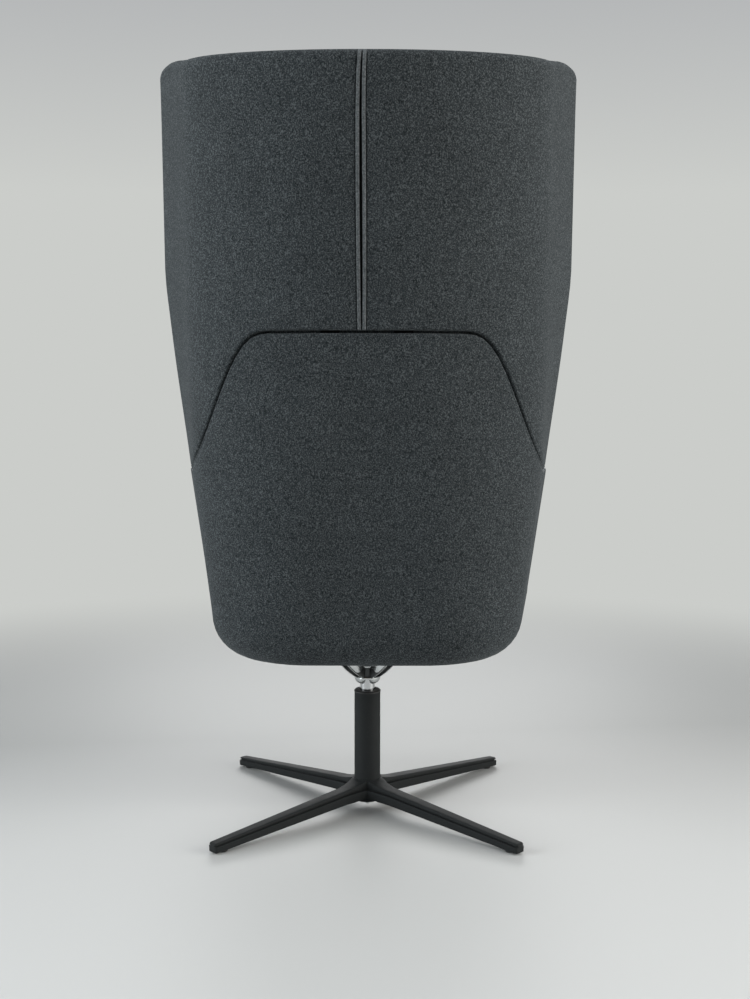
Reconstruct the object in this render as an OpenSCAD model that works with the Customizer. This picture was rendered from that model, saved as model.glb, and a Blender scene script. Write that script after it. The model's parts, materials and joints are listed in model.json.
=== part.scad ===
// Acoustic high back lounge chair on a swivelling four-star base.
// Millimetres, +Z up, the sitter faces -Y. The origin is on the floor, on the swivel axis.
// Every wall is one surface: a plan line that runs from the middle of the back round a
// corner and along a flat wing, and changes its width and flare with the height.

/* [Hood] */
// Height of the hood's top edge in the middle of the back
hood_top_h = 1344; // [1250:1:1420]
// Distance of the back's outer face behind the swivel axis at that edge
hood_back_y = 365; // [340:1:390]
// Lean of the back from upright, in degrees
recline = 9; // [6:0.5:11]
// Height of the soft crease where the wings stop widening
kink_h = 1020; // [980:1:1060]
// Half width over the wings' front edges at the top
hood_half_w = 394; // [380:1:405]
// Half width over the wings' front edges at the crease
kink_half_w = 398; // [385:1:410]
// Outward flare of the wings, in degrees
hood_flare = 18; // [15:0.5:21]
// Half width of the flat strip in the middle of the hood's back
hood_flat = 20; // [10:1:40]
// Place of the wings' front edge from the swivel axis, below the crease
hood_edge_y = -120; // [-140:1:-95]
// Radius of the wings' top front corners, seen from the side
hood_corner_r = 32; // [24:1:50]
// Width of the slit between the two halves of the hood's outer cover
slit_w = 3; // [2:0.5:5]
// Width of the sewn lip on each side of the slit
lip_w = 7; // [5:0.5:10]
// Rise of the lips above the cover
lip_rise = 1.4; // [0.5:0.1:2]

/* [Lower shell] */
// Height of the shell's flat underside
floor_h = 309; // [290:1:330]
// Radius of the bend from the walls into the underside
turn_r = 75; // [65:1:85]
// Width of the rim that carries the seat board, inside the bend
flange_w = 35; // [30:1:42]
// Height of the seam at the front of the arms
arm_h = 645; // [620:1:680]
// Height of the seam across the back
seam_h = 904; // [860:1:940]
// Half width at the arms, at the hood's front edge
arm_half_w = 352; // [340:1:362]
// Half width at the underside, at the hood's front edge
floor_half_w = 306; // [296:1:318]
// Outward flare of the arms, in degrees
arm_flare = 9; // [7:0.5:11]
// Outward flare at the underside, in degrees
floor_flare = 8; // [6:0.5:10]
// Half width of the flat strip in the middle of the back at arm height
arm_flat = 80; // [60:1:95]
// Half width of that strip at the underside
floor_flat = 110; // [95:1:120]
// Place of the arms' front edge from the axis at arm height
arm_edge_y = -296; // [-310:1:-280]
// Place of the front edge from the axis at the underside
floor_edge_y = -340; // [-350:1:-325]
// Radius of the arms' top front corners, seen from the side
arm_corner_r = 52; // [40:1:70]
// Gap between the hood and the lower shell
seam_gap = 5; // [3:0.5:7]

/* [Wall build-up] */
// Whole thickness of a wall
wall_t = 42; // [40:1:48]
// Thickness of the padded outer cover
cover_t = 5; // [4:0.5:6]
// Thickness of the moulded plywood
ply_t = 10; // [9:0.5:11]
// Radius of the rounded front and top edges
rim_r = 16; // [14:0.5:18]
// Radius of the edges along the seam
seam_r = 7; // [6:0.5:9]
// Half of the gap between cover and lining where they meet at an edge
edge_gap = 0.6; // [0.4:0.1:1]
// Thickness of the steel straps between plywood and lining
strap_t = 3; // [2:0.5:4]
// Width of a strap
strap_w = 32; // [26:1:40]
// Length of a strap
strap_l = 110; // [90:1:130]
// Clearance between layers
fit = 0.4; // [0.3:0.05:0.5]
// Clearance of a strap on both faces, for the twist of the wings
strap_fit = 1.8; // [1.5:0.1:2.2]

/* [Seat] */
// Thickness of the plywood seat board
board_t = 18; // [15:1:22]
// Height of the seat cushion at its edges
cushion_h = 84; // [75:1:95]
// Extra height of the seat cushion in the middle
cushion_crown = 13; // [6:1:20]
// How far the seat cushion stands out in front of the shell
cushion_proud = 14; // [8:1:18]
// Pull-in of the cushion's sides between its corners
cushion_pull = 6; // [3:1:9]
// Height of the back cushion's lower edge above the seat cushion's edge
back_gap = 16; // [14:1:24]
// Height of the back cushion's top edge from the floor
back_top_h = 1150; // [1100:1:1230]
// Thickness of the back cushion at the loins
back_t = 58; // [45:1:70]
// Thickness of the back cushion at its top
back_top_t = 34; // [28:1:45]
// Thickness of the cloth under the seat board
dust_t = 2; // [1.5:0.5:3]

/* [Base] */
// Diameter of the star base over the ends of its legs
base_d = 760; // [700:5:820]
// Number of legs
legs = 4; // [4:1:5]
// Height of a leg's end above the floor
tip_clear = 4; // [3:0.5:6]
// Height of a leg at its end
tip_h = 16; // [14:0.5:20]
// Width of a leg's blade at its end
tip_w = 23; // [20:0.5:27]
// Width of a leg's blade at the hub
root_w = 35; // [31:0.5:40]
// Width of a leg's top rib at its end
rib_tip_w = 19; // [16:0.5:20]
// Width of a leg's top rib at the hub
rib_root_w = 27; // [24:0.5:30]
// Height of a leg's underside at the hub
hub_low = 24; // [20:1:28]
// Height of a leg's top at the hub
leg_top = 48; // [44:1:52]
// Height of the hub's collar
collar_top = 56; // [52:1:62]
// Diameter of the hub's collar
collar_d = 57; // [55:0.5:60]
// Diameter of a foot glide
glide_d = 18; // [14:1:20]

/* [Column] */
// Outer diameter of the column tube
tube_d = 50; // [48:0.5:52]
// Wall of the column tube
tube_wall = 2.5; // [2:0.25:3]
// Height of the tube's top edge
tube_top = 226; // [215:1:236]
// Height of the tube's lower edge
tube_low = 14; // [11:1:16]
// Diameter of the polished shaft
shaft_d = 28; // [26:0.5:30]
// Diameter of the rod that holds the shaft down
rod_d = 9; // [8:0.5:10]
// Height of the bush's collar above the tube
bush_h = 4.5; // [3:0.5:6]
// Depth of the bush in the tube
bush_l = 92; // [70:1:110]
// Radial running clearance of the shaft and of the rod
run = 0.05; // [0.03:0.01:0.08]
// Diameter of a bearing ball
ball_d = 6; // [5:0.5:7]
// Number of bearing balls
balls = 10; // [8:1:11]

/* [Spider] */
// Height of the spider's lower edge
spider_low = 243; // [240:1:247]
// Outer diameter of the spider's collar
spider_d = 47; // [44:1:50]
// Distance between neighbouring spider pads
pad_pitch = 140; // [130:1:144]
// Diameter of a spider pad
pad_d = 32; // [30:1:33]
// Thickness of a spider pad
pad_t = 7; // [6:0.5:9]
// Width of a spider arm
spider_arm_w = 25; // [22:1:28]
// Depth of the shaft in the spider
socket_l = 58; // [50:1:62]
// Thread diameter of the spider bolts
bolt_d = 8; // [7:1:8]

/* [Hidden] */
cut = 1;
wool = "#4d5356";
wool_inside = "#565c5f";
cast_black = "#2b2e30";
steel = "#b9bcbe";

// Levels and depths that follow from the sizes above
turn_h = floor_h + turn_r;
ply_d = cover_t + fit;
strap_depth = ply_d + ply_t + strap_fit;
lining_d = strap_depth + strap_t + strap_fit;
mid_d = wall_t / 2;
rim_back = rim_r + fit;
board_low = floor_h + ply_d + ply_t + fit;
board_top = board_low + board_t;
seat_low = board_top + fit;
seat_edge_h = seat_low + cushion_h;
shaft_r = shaft_d / 2;
rod_r = rod_d / 2;
tube_r = tube_d / 2;
tube_bore_r = tube_r - tube_wall;
pad_r = pad_pitch / 2 * sqrt(2);

// The wall's plan line at a height: flat half width, flare, half width at the gauge line
function lerp(a, b, t) = a + (b - a) * t;
function back_y(z) = hood_back_y - (hood_top_h - z) * tan(recline);
function gauge_y(z) = hood_edge_y + max(0, z - kink_h) * tan(recline);
stations = [
    [floor_h, floor_flat, floor_flare, floor_half_w],
    [arm_h, arm_flat, arm_flare, arm_half_w],
    [kink_h, hood_flat, hood_flare, kink_half_w],
    [hood_top_h, hood_flat, hood_flare, hood_half_w]
];
function band(z) = z <= arm_h ? 0 : z <= kink_h ? 1 : 2;
function section(z) =
    let (i = band(z), p = stations[i], q = stations[i + 1])
    [for (k = [1:3]) lerp(p[k], q[k], (z - p[0]) / (q[0] - p[0]))];
function corner_r(z, s) =
    ((s[2] - s[0]) * cos(s[1]) - (back_y(z) - gauge_y(z)) * sin(s[1])) / (1 - sin(s[1]));

// A point of the wall at height z and depth d. The place p runs from 0 to 1 over the flat
// strip and from 1 to 2 round the corner, and l is the length along the wing after that.
function wall_pt(z, p, l, d) =
    let (s = section(z), r = corner_r(z, s), g = max(p - 1, 0) * (90 - s[1]))
    [
        s[0] * min(p, 1) + (r - d) * sin(g) + l * sin(s[1]),
        back_y(z) - r + (r - d) * cos(g) - l * cos(s[1]),
        z
    ];
function wing_l(z, edge_y) =
    let (s = section(z), r = corner_r(z, s))
    (back_y(z) - r * (1 - sin(s[1])) - edge_y) / cos(s[1]);
function hood_wing(z) = wing_l(z, gauge_y(z));
function arm_wing(z) =
    wing_l(z, lerp(floor_edge_y, arm_edge_y, (min(z, arm_h) - floor_h) / (arm_h - floor_h)));

// The seam falls from the back round the corner and runs out level along the arms
seam_start_share = 1.33;
seam_width_share = 0.314;
seam_power = 3;
wing_unit = arm_half_w / 2;
function seam_z(p, l) =
    let (t = max(0, p + l / wing_unit - seam_start_share) / seam_width_share)
    arm_h + (seam_h - arm_h) / (1 + pow(t, seam_power));
// Steepness of the seam, to keep its gap and its rounded edges even
probe_share = 0.02;
function steep(p, l) =
    let (
        z = seam_z(p, l),
        s = section(z),
        run_l = p < 2 ? 2 * probe_share * corner_r(z, s) * (90 - s[1]) * PI / 180
                      : 2 * probe_share * wing_unit,
        rise = p < 2 ? seam_z(p - probe_share, 0) - seam_z(p + probe_share, 0)
                     : seam_z(2, l - probe_share * wing_unit) - seam_z(2, l + probe_share * wing_unit)
    )
    min(2.4, sqrt(1 + pow(rise / run_l, 2)));

// A rounded edge as pairs: distance in from the edge, and depth
rim_angles = [60, 30, 0];
function rim(t, m, r) = concat(
    [[t, m]],
    [for (a = rim_angles) [t + (r - t) * (1 - sin(a)), t + (r - t) * (1 - cos(a))]]
);
function rim_inside(m) =
    [for (q = rim(0, wall_t - m, rim_r)) [q[0], wall_t - q[1]]];
hidden_shares = [0.3, 0.6, 0.9, 1.12];
function rim_hidden(m, d) =
    [for (i = [0:3]) [rim_r * hidden_shares[i], i < 3 ? m : d]];
// A layer is its free rim, the depth between the rims, and its rim along the seam
cover_m = mid_d - edge_gap;
lining_m = mid_d + edge_gap;
cover_out = [rim(0, cover_m, rim_r), 0, rim(0, cover_m, seam_r)];
cover_in = [rim(cover_t, cover_m, rim_r), cover_t, rim(cover_t, cover_m, seam_r)];
lining_in = [rim_inside(lining_m), wall_t, rim_inside(lining_m)];
lining_out = [rim_hidden(lining_m, lining_d), lining_d, rim_hidden(lining_m, lining_d)];
ply_out = [[[rim_back, ply_d]], ply_d, [[rim_back, ply_d]]];
ply_in = [[[rim_back, ply_d + ply_t]], ply_d + ply_t, [[rim_back, ply_d + ply_t]]];

// Columns of half a wall: place, share of the wing, set-back from the front, depth, lip
corner_steps = 8;
wing_steps = 2;
function columns(layer, corner) = concat(
    [for (p = [0, 1]) [p, 0, 0, layer[1], 0]],
    [for (i = [1:corner_steps]) [1 + i / corner_steps, 0, 0, layer[1], 0]],
    [for (i = [1:wing_steps]) [2, i / (wing_steps + 1), 0, layer[1], 0]],
    [for (share = [1, 0.6]) [2, 1, corner * share, layer[1], 0]],
    [for (i = [len(layer[0]) - 1:-1:0]) [2, 1, layer[0][i][0], layer[0][i][1], 0]]
);
// The cover's halves start at the slit with a sewn lip
lip_shares = [0, 0.35, 0.75, 1];
lip_depths = [cover_t / 2, -lip_rise, -lip_rise, 0];
function half_columns(layer, corner) = concat(
    [for (i = [0:3]) [
        (slit_w / 2 + lip_w * lip_shares[i]) / hood_flat, 0, 0, layer[1],
        layer[1] == 0 ? lip_depths[i] : 0
    ]],
    [for (i = [1:len(columns(layer, corner)) - 1]) columns(layer, corner)[i]]
);
function both_sides(cols) = concat(
    [for (i = [len(cols) - 1:-1:1]) [-1, cols[i]]],
    [for (c = cols) [1, c]]
);
function wing_at(c, l, corner) = c[0] < 2 ? 0 : c[1] < 1 ? c[1] * (l - corner) : l - c[2];
function drop(b, corner) = b >= corner ? 0 : corner - sqrt(corner * corner - pow(corner - b, 2));
function col_drop(c, corner) = c[1] < 1 ? 0 : drop(c[2], corner);
// A front edge and a top edge meet at the deeper of their two roundings
function blend_d(a, b, layer) = layer[0][0][1] >= layer[1] ? max(a, b) : min(a, b);
function side_pt(side, q) = [side * q[0], q[1], q[2]];

// Rows of a wall. All layers share them, so that their facets stay parallel
wall_row_fade = 120;
function wall_rows(end) =
    let (
        over = min(1, max(0, (end - arm_h) / wall_row_fade)),
        row = lerp(lerp(turn_h, end, 0.75), arm_h, over)
    )
    [(turn_h + row) / 2, row, (row + end) / 2];
function thin_rim(layer) = layer[2][len(layer[2]) - 1][0] < rim_r;

// One column of the hood: from the seam up to the top edge
function hood_top(c) =
    let (y = wall_pt(hood_top_h, c[0], wing_at(c, hood_wing(hood_top_h), hood_corner_r), 0)[1])
    hood_top_h + tan(recline) * (hood_back_y - y) * pow(cos(recline), 2)
        - col_drop(c, hood_corner_r);
function hood_levels(c, layer) =
    let (
        l = wing_at(c, hood_wing(arm_h), hood_corner_r),
        k = steep(c[0], l),
        low = seam_z(c[0], l) + seam_gap / 2 * k,
        top = hood_top(c),
        n = len(layer[0]) - 1,
        start = low + rim_back * k
    )
    concat(
        [for (q = layer[2]) [low + q[0] * k, q[1]]],
        thin_rim(layer) ? [[start, layer[1]]] : [],
        [[(start + kink_h) / 2, layer[1]], [kink_h, layer[1]], [(kink_h + top) / 2, layer[1]]],
        [for (i = [n:-1:0]) [top - layer[0][i][0], layer[0][i][1]]]
    );
function hood_column(side, c, layer) =
    [for (q = hood_levels(c, layer))
        side_pt(side, wall_pt(
            q[0], c[0], wing_at(c, hood_wing(q[0]), hood_corner_r),
            blend_d(q[1], c[3], layer) + c[4]
        ))];

// One column of the lower shell: from the flange round the bend and up to the seam
turn_angles = [90, 60, 30, 0];
function turn_pt(c, a, d) =
    let (q = wall_pt(turn_h, c[0], wing_at(c, arm_wing(turn_h), arm_corner_r),
                     turn_r - (turn_r - d) * cos(a)))
    [q[0], q[1], turn_h - (turn_r - d) * sin(a)];
function flange_pt(c, d, w) =
    let (q = wall_pt(turn_h, c[0], wing_at(c, arm_wing(turn_h), arm_corner_r), turn_r + w))
    [q[0], q[1], floor_h + d];
function shell_top(c) =
    let (l = wing_at(c, arm_wing(arm_h), arm_corner_r))
    seam_z(c[0], l) - seam_gap / 2 * steep(c[0], l) - col_drop(c, arm_corner_r);
function shell_wall(c, layer) =
    let (
        l = wing_at(c, arm_wing(arm_h), arm_corner_r),
        k = steep(c[0], l),
        top = shell_top(c),
        n = len(layer[0]) - 1,
        end = top - rim_back * k
    )
    concat(
        [for (z = wall_rows(end)) [z, layer[1]]],
        thin_rim(layer) ? [[end, layer[1]]] : [],
        [for (i = [n:-1:0]) [top - layer[2][i][0] * k, layer[2][i][1]]]
    );
function wall_part(side, c, layer) =
    [for (q = shell_wall(c, layer))
        side_pt(side, wall_pt(
            q[0], c[0], wing_at(c, arm_wing(q[0]), arm_corner_r),
            blend_d(q[1], c[3], layer)
        ))];
function shell_column(side, c, layer) =
    let (d = blend_d(layer[1], c[3], layer))
    concat(
        [side_pt(side, flange_pt(c, d, flange_w))],
        [for (a = turn_angles) side_pt(side, turn_pt(c, a, d))],
        wall_part(side, c, layer)
    );
function lining_column(side, c, layer) =
    let (d = blend_d(layer[1], c[3], layer))
    concat(
        [for (a = [30, 0]) side_pt(side, turn_pt(c, a, d))],
        wall_part(side, c, layer)
    );

// A closed skin between two grids of points with as many columns and rows. In an even one
// the left half's facets mirror the right half's.
module skin(outer, inner, even = false) {
    n = len(outer);
    m = len(outer[0]);
    all = concat([for (c = outer) each c], [for (c = inner) each c]);
    function at(layer, i, j) = (layer * n + i) * m + j;
    faces = concat(
        [for (i = [0:n - 2], j = [0:m - 2]) each even && i < (n - 1) / 2 ? [
            [at(0, i, j), at(0, i + 1, j), at(0, i, j + 1)],
            [at(0, i + 1, j), at(0, i + 1, j + 1), at(0, i, j + 1)],
            [at(1, i, j), at(1, i, j + 1), at(1, i + 1, j)],
            [at(1, i + 1, j), at(1, i, j + 1), at(1, i + 1, j + 1)]
        ] : [
            [at(0, i, j), at(0, i + 1, j), at(0, i + 1, j + 1)],
            [at(0, i, j), at(0, i + 1, j + 1), at(0, i, j + 1)],
            [at(1, i, j), at(1, i + 1, j + 1), at(1, i + 1, j)],
            [at(1, i, j), at(1, i, j + 1), at(1, i + 1, j + 1)]
        ]],
        [for (i = [0:n - 2]) each [
            [at(0, i, 0), at(1, i + 1, 0), at(0, i + 1, 0)],
            [at(0, i, 0), at(1, i, 0), at(1, i + 1, 0)],
            [at(0, i, m - 1), at(0, i + 1, m - 1), at(1, i + 1, m - 1)],
            [at(0, i, m - 1), at(1, i + 1, m - 1), at(1, i, m - 1)]
        ]],
        [for (j = [0:m - 2]) each [
            [at(0, 0, j), at(0, 0, j + 1), at(1, 0, j + 1)],
            [at(0, 0, j), at(1, 0, j + 1), at(1, 0, j)],
            [at(0, n - 1, j), at(1, n - 1, j + 1), at(0, n - 1, j + 1)],
            [at(0, n - 1, j), at(1, n - 1, j), at(1, n - 1, j + 1)]
        ]]
    );
    polyhedron(points = all, faces = faces, convexity = 6);
}

// Star base
leg_angle = 360 / legs;
leg_turn = leg_angle / 2;
hub_r = collar_d / 2;
ledge_share = 0.52;
edge_soft = 2.5;
leg_reach_shares = [0.04, 0.13, 0.22, 0.5, 0.96, 1];
leg_lift_shares = [1.14, 1.04, 1, 1, 1, 0.86];
leg_taper_shares = [1, 1, 1, 1, 1, 0.8];
function leg_at(i) =
    let (
        x = leg_reach_shares[i] * base_d / 2,
        t = max(0, (leg_reach_shares[i] - leg_reach_shares[1]) / (1 - leg_reach_shares[1])),
        low = lerp(hub_low, tip_clear, min(1, t)),
        top = low + lerp(leg_top - hub_low, tip_h, t) * leg_lift_shares[i],
        ledge = low + (top - low) * ledge_share,
        w = lerp(root_w, tip_w, t) / 2 * leg_taper_shares[i],
        rib = lerp(rib_root_w, rib_tip_w, t) / 2 * leg_taper_shares[i]
    )
    [
        [x, -(w - 2 * edge_soft), low], [x, w - 2 * edge_soft, low],
        [x, w - edge_soft / 2, low + edge_soft], [x, w, ledge - edge_soft / 2],
        [x, w, ledge], [x, rib - edge_soft / 5, ledge + edge_soft / 5],
        [x, rib, top - edge_soft], [x, rib - edge_soft / 3, top - edge_soft / 3],
        [x, rib - edge_soft, top], [x, -(rib - edge_soft), top],
        [x, -(rib - edge_soft / 3), top - edge_soft / 3], [x, -rib, top - edge_soft],
        [x, -(rib - edge_soft / 5), ledge + edge_soft / 5], [x, -w, ledge],
        [x, -w, ledge - edge_soft / 2], [x, -(w - edge_soft / 2), low + edge_soft]
    ];
module loft(rings) {
    m = len(rings[0]);
    n = len(rings);
    polyhedron(
        points = [for (r = rings) each r],
        faces = concat(
            [[for (j = [0:m - 1]) j]],
            [[for (j = [m - 1:-1:0]) (n - 1) * m + j]],
            [for (i = [0:n - 2], j = [0:m - 1]) each [
                [i * m + j, (i + 1) * m + (j + 1) % m, i * m + (j + 1) % m],
                [i * m + j, (i + 1) * m + j, (i + 1) * m + (j + 1) % m]
            ]]
        ),
        convexity = 4
    );
}
glide_r = base_d / 2 - tip_w;
glide_stem_r = glide_d / 4;
glide_stem_l = tip_h / 2;
module round_legs() {
    for (i = [0:legs - 1])
        rotate([0, 0, leg_turn + i * leg_angle])
            children();
}
module four_star_base() {
    soft = (root_w - collar_d / 2) / 2;
    color(cast_black)
        difference() {
            union() {
                rotate_extrude($fn = 72)
                    polygon([
                        [0, hub_low], [hub_r + 2 * soft, hub_low],
                        [hub_r + 3 * soft, hub_low + soft], [hub_r + 2 * soft, leg_top - 2 * soft],
                        [hub_r + soft, leg_top], [hub_r + soft / 4, collar_top - soft / 2],
                        [hub_r, collar_top], [0, collar_top]
                    ]);
                round_legs() loft([for (i = [0:len(leg_reach_shares) - 1]) leg_at(i)]);
            }
            translate([0, 0, hub_low - cut])
                cylinder(r = tube_r + run, h = collar_top - hub_low + 2 * cut, $fn = 96);
            round_legs()
                translate([glide_r, 0, 0])
                    cylinder(r = glide_stem_r + run, h = tip_clear + glide_stem_l + run, $fn = 32);
        }
}
module foot_glides() {
    soft = tip_clear / 4;
    leg_low = lerp(hub_low, tip_clear, (2 * glide_r / base_d - leg_reach_shares[1])
        / (1 - leg_reach_shares[1]));
    color("#1b1c1d")
        round_legs()
            translate([glide_r, 0, 0])
                rotate_extrude($fn = 40)
                    polygon([
                        [0, 0], [glide_d / 2 - soft, 0], [glide_d / 2, soft],
                        [glide_d / 2, tip_clear - soft / 4], [glide_stem_r, tip_clear - soft / 4],
                        [glide_stem_r, tip_clear + glide_stem_l], [0, tip_clear + glide_stem_l]
                    ]);
}

// Column
module ring(outer_r, inner_r, h, fn = 96) {
    difference() {
        cylinder(r = outer_r, h = h, $fn = fn);
        translate([0, 0, -cut]) cylinder(r = inner_r, h = h + 2 * cut, $fn = fn);
    }
}
module column_tube() {
    color(cast_black)
        translate([0, 0, tube_low]) ring(tube_r, tube_bore_r, tube_top - tube_low);
}
plate_t = 4;
plate_low = tube_low + plate_t / 4;
plate_top = plate_low + plate_t;
buffer_t = plate_t;
race_t = tube_wall;
race_r = tube_bore_r - tube_wall / 2;
ball_r = ball_d / 2;
ball_pcr = (shaft_r + rod_r) / 2 + ball_r;
lower_race_low = plate_top + buffer_t;
ball_low = lower_race_low + race_t + run;
upper_race_low = ball_low + ball_d + 4 * run;
shaft_low = upper_race_low + race_t;
rod_top = shaft_low + 2 * shaft_d;
rod_low = plate_low - 2 * plate_t - plate_t / 2;
washer_t = plate_t / 2;
clip_t = plate_t / 4;
module column_end_plate() {
    color("#3a3d3f")
        translate([0, 0, plate_low]) ring(tube_bore_r - run, rod_r + run, plate_t);
}
module column_rod() {
    groove = rod_r / 6;
    top_soft = rod_r / 4;
    color(steel)
        rotate_extrude($fn = 64)
            polygon([
                [0, rod_low], [rod_r - top_soft, rod_low], [rod_r, rod_low + top_soft],
                [rod_r, plate_low - washer_t - clip_t - run],
                [rod_r - groove, plate_low - washer_t - clip_t - run],
                [rod_r - groove, plate_low - washer_t - run],
                [rod_r, plate_low - washer_t - run], [rod_r, rod_top - top_soft],
                [rod_r - top_soft, rod_top], [0, rod_top]
            ]);
}
module rod_washer() {
    color(steel)
        translate([0, 0, plate_low - washer_t]) ring(2 * rod_r + plate_t / 2, rod_r + run, washer_t);
}
module rod_clip() {
    groove_r = rod_r - rod_r / 6;
    color("#85888a")
        translate([0, 0, plate_low - washer_t - clip_t])
            difference() {
                cylinder(r = 2 * rod_r, h = clip_t - run, $fn = 48);
                translate([0, 0, -cut]) cylinder(r = groove_r + run, h = clip_t + 2 * cut, $fn = 48);
                translate([0, -groove_r * 0.8, -cut])
                    cube([3 * rod_r, groove_r * 1.6, clip_t + 2 * cut]);
            }
}
module buffer_ring() {
    color("#222222")
        translate([0, 0, plate_top]) ring(race_r, rod_r + 2 * plate_t / 4, buffer_t);
}
module lower_race() {
    color(steel)
        translate([0, 0, lower_race_low]) ring(race_r, rod_r + 2 * run, race_t);
}
module ball_places() {
    for (i = [0:balls - 1])
        rotate([0, 0, i * 360 / balls])
            translate([ball_pcr, 0, 0]) children();
}
module ball_cage() {
    color("#d8d2b0")
        difference() {
            translate([0, 0, ball_low + ball_r / 2])
                ring(ball_pcr + ball_d * 0.8, ball_pcr - ball_d * 0.8, ball_r, 72);
            ball_places()
                translate([0, 0, ball_low + ball_r / 2 - cut])
                    cylinder(r = ball_r + 4 * run, h = ball_r + 2 * cut, $fn = 36);
        }
}
module thrust_balls() {
    color("#c8cacc")
        ball_places()
            translate([0, 0, ball_low + ball_r]) sphere(r = ball_r, $fn = 32);
}
module upper_race() {
    color(steel)
        translate([0, 0, upper_race_low]) ring(race_r, rod_r + 4 * run, race_t);
}
module column_bush() {
    soft = bush_h / 3;
    proud = soft / 3;
    color("#17181a")
        rotate_extrude($fn = 96)
            polygon([
                [shaft_r + run, tube_top - bush_l], [tube_bore_r - run, tube_top - bush_l],
                [tube_bore_r - run, tube_top], [tube_r + proud, tube_top],
                [tube_r + proud, tube_top + bush_h / 2], [tube_r - soft, tube_top + bush_h],
                [shaft_r + soft, tube_top + bush_h], [shaft_r + run, tube_top + bush_h - soft]
            ]);
}
shaft_top = spider_low + socket_l;
module column_shaft() {
    soft = shaft_r / 10;
    well_top = rod_top + rod_r;
    color("#e2e4e5")
        rotate_extrude($fn = 96)
            polygon([
                [rod_r + run, shaft_low], [shaft_r, shaft_low], [shaft_r, shaft_top - soft],
                [shaft_r - soft, shaft_top], [0, shaft_top], [0, well_top], [rod_r + run, well_top]
            ]);
}

// Spider: a collar, a flared socket and four swept arms with round pads
spider_top = board_low;
socket_roof = shaft_top + pad_t;
arm_low_share = 0.2;
arm_steps = 8;
spider_arm_angle = 45;
arch_share = 0.62;
arch_start_share = 0.8;
function sweep_arc(from, to, bulge) =
    [for (i = [0:arm_steps])
        let (t = i / arm_steps)
        [lerp(from[0], to[0], t), lerp(from[1], to[1], t) + bulge * 4 * t * (1 - t)]];
module spider_arm() {
    collar_r = spider_d / 2;
    low = spider_low + (spider_top - spider_low) * arm_low_share;
    sag = -pad_t * 0.7;
    rotate([90, 0, 0])
        translate([0, 0, -spider_arm_w / 2])
            linear_extrude(height = spider_arm_w)
                polygon(concat(
                    sweep_arc([collar_r, low], [pad_r - pad_d / 4, spider_top - pad_t], sag),
                    [[pad_r, spider_top - pad_t], [pad_r, spider_top]],
                    sweep_arc([pad_r - pad_d / 3, spider_top], [shaft_r, socket_roof], sag)
                ));
    translate([pad_r, 0, spider_top - pad_t]) cylinder(d = pad_d, h = pad_t, $fn = 48);
}
module spider_places() {
    for (i = [0:3])
        rotate([0, 0, spider_arm_angle + 90 * i]) children();
}
module spider() {
    collar_r = spider_d / 2;
    arch_r = shaft_r * arch_share;
    color("#d4d6d8")
        difference() {
            union() {
                rotate_extrude($fn = 96)
                    polygon([
                        [0, spider_low], [collar_r - pad_t / 2, spider_low],
                        [collar_r, spider_low + pad_t / 2], [collar_r, spider_low + pad_t * 1.6],
                        [collar_r - pad_t / 3, spider_low + pad_t * 2], [collar_r, socket_roof - pad_t],
                        [collar_r - pad_t / 2, socket_roof], [0, socket_roof]
                    ]);
                spider_places() spider_arm();
            }
            translate([0, 0, spider_low - cut])
                cylinder(r = shaft_r, h = shaft_top - spider_low + cut, $fn = 96);
            for (i = [0:3])
                rotate([90, 0, 90 * i])
                    translate([0, spider_low, shaft_r * arch_start_share])
                        linear_extrude(height = spider_d)
                            polygon(concat(
                                [[-arch_r, -cut], [arch_r, -cut]],
                                [for (a = [0:18:180]) [arch_r * cos(a), arch_r * sin(a)]]
                            ));
            spider_places()
                translate([pad_r, 0, spider_top - pad_t - cut])
                    cylinder(d = bolt_d + 10 * run, h = pad_t + 2 * cut, $fn = 40);
        }
}
bolt_head_h = bolt_d * 0.7;
bolt_head_r = bolt_d * 0.8;
spring_washer_t = bolt_d / 4;
nut_flange_t = bolt_d / 5;
nut_flange_r = bolt_d * 1.35;
nut_barrel_r = bolt_d * 0.68;
nut_l = board_t * 0.7;
module spider_washers() {
    color(steel)
        spider_places()
            translate([pad_r, 0, spider_top - pad_t - spring_washer_t])
                ring(bolt_head_r + cut, bolt_d / 2 + run, spring_washer_t, 48);
}
module spider_bolts() {
    head_low = spider_top - pad_t - spring_washer_t - bolt_head_h;
    key_w = bolt_d * 0.66;
    color("#3f4244")
        spider_places()
            translate([pad_r, 0, head_low])
                difference() {
                    union() {
                        cylinder(r = bolt_head_r, h = bolt_head_h, $fn = 48);
                        cylinder(d = bolt_d, h = board_top - head_low - nut_flange_t * 2, $fn = 48);
                    }
                    translate([0, 0, -cut])
                        cylinder(d = key_w, h = bolt_head_h / 2 + cut, $fn = 6);
                }
}
module t_nuts() {
    color(steel)
        spider_places()
            translate([pad_r, 0, board_top - nut_flange_t])
                difference() {
                    union() {
                        cylinder(r = nut_flange_r, h = nut_flange_t, $fn = 48);
                        translate([0, 0, nut_flange_t - nut_l])
                            cylinder(r = nut_barrel_r, h = nut_l, $fn = 48);
                    }
                    translate([0, 0, nut_flange_t - nut_l - cut])
                        cylinder(d = bolt_d + 2 * run, h = nut_l + 2 * cut, $fn = 48);
                }
}

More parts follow.
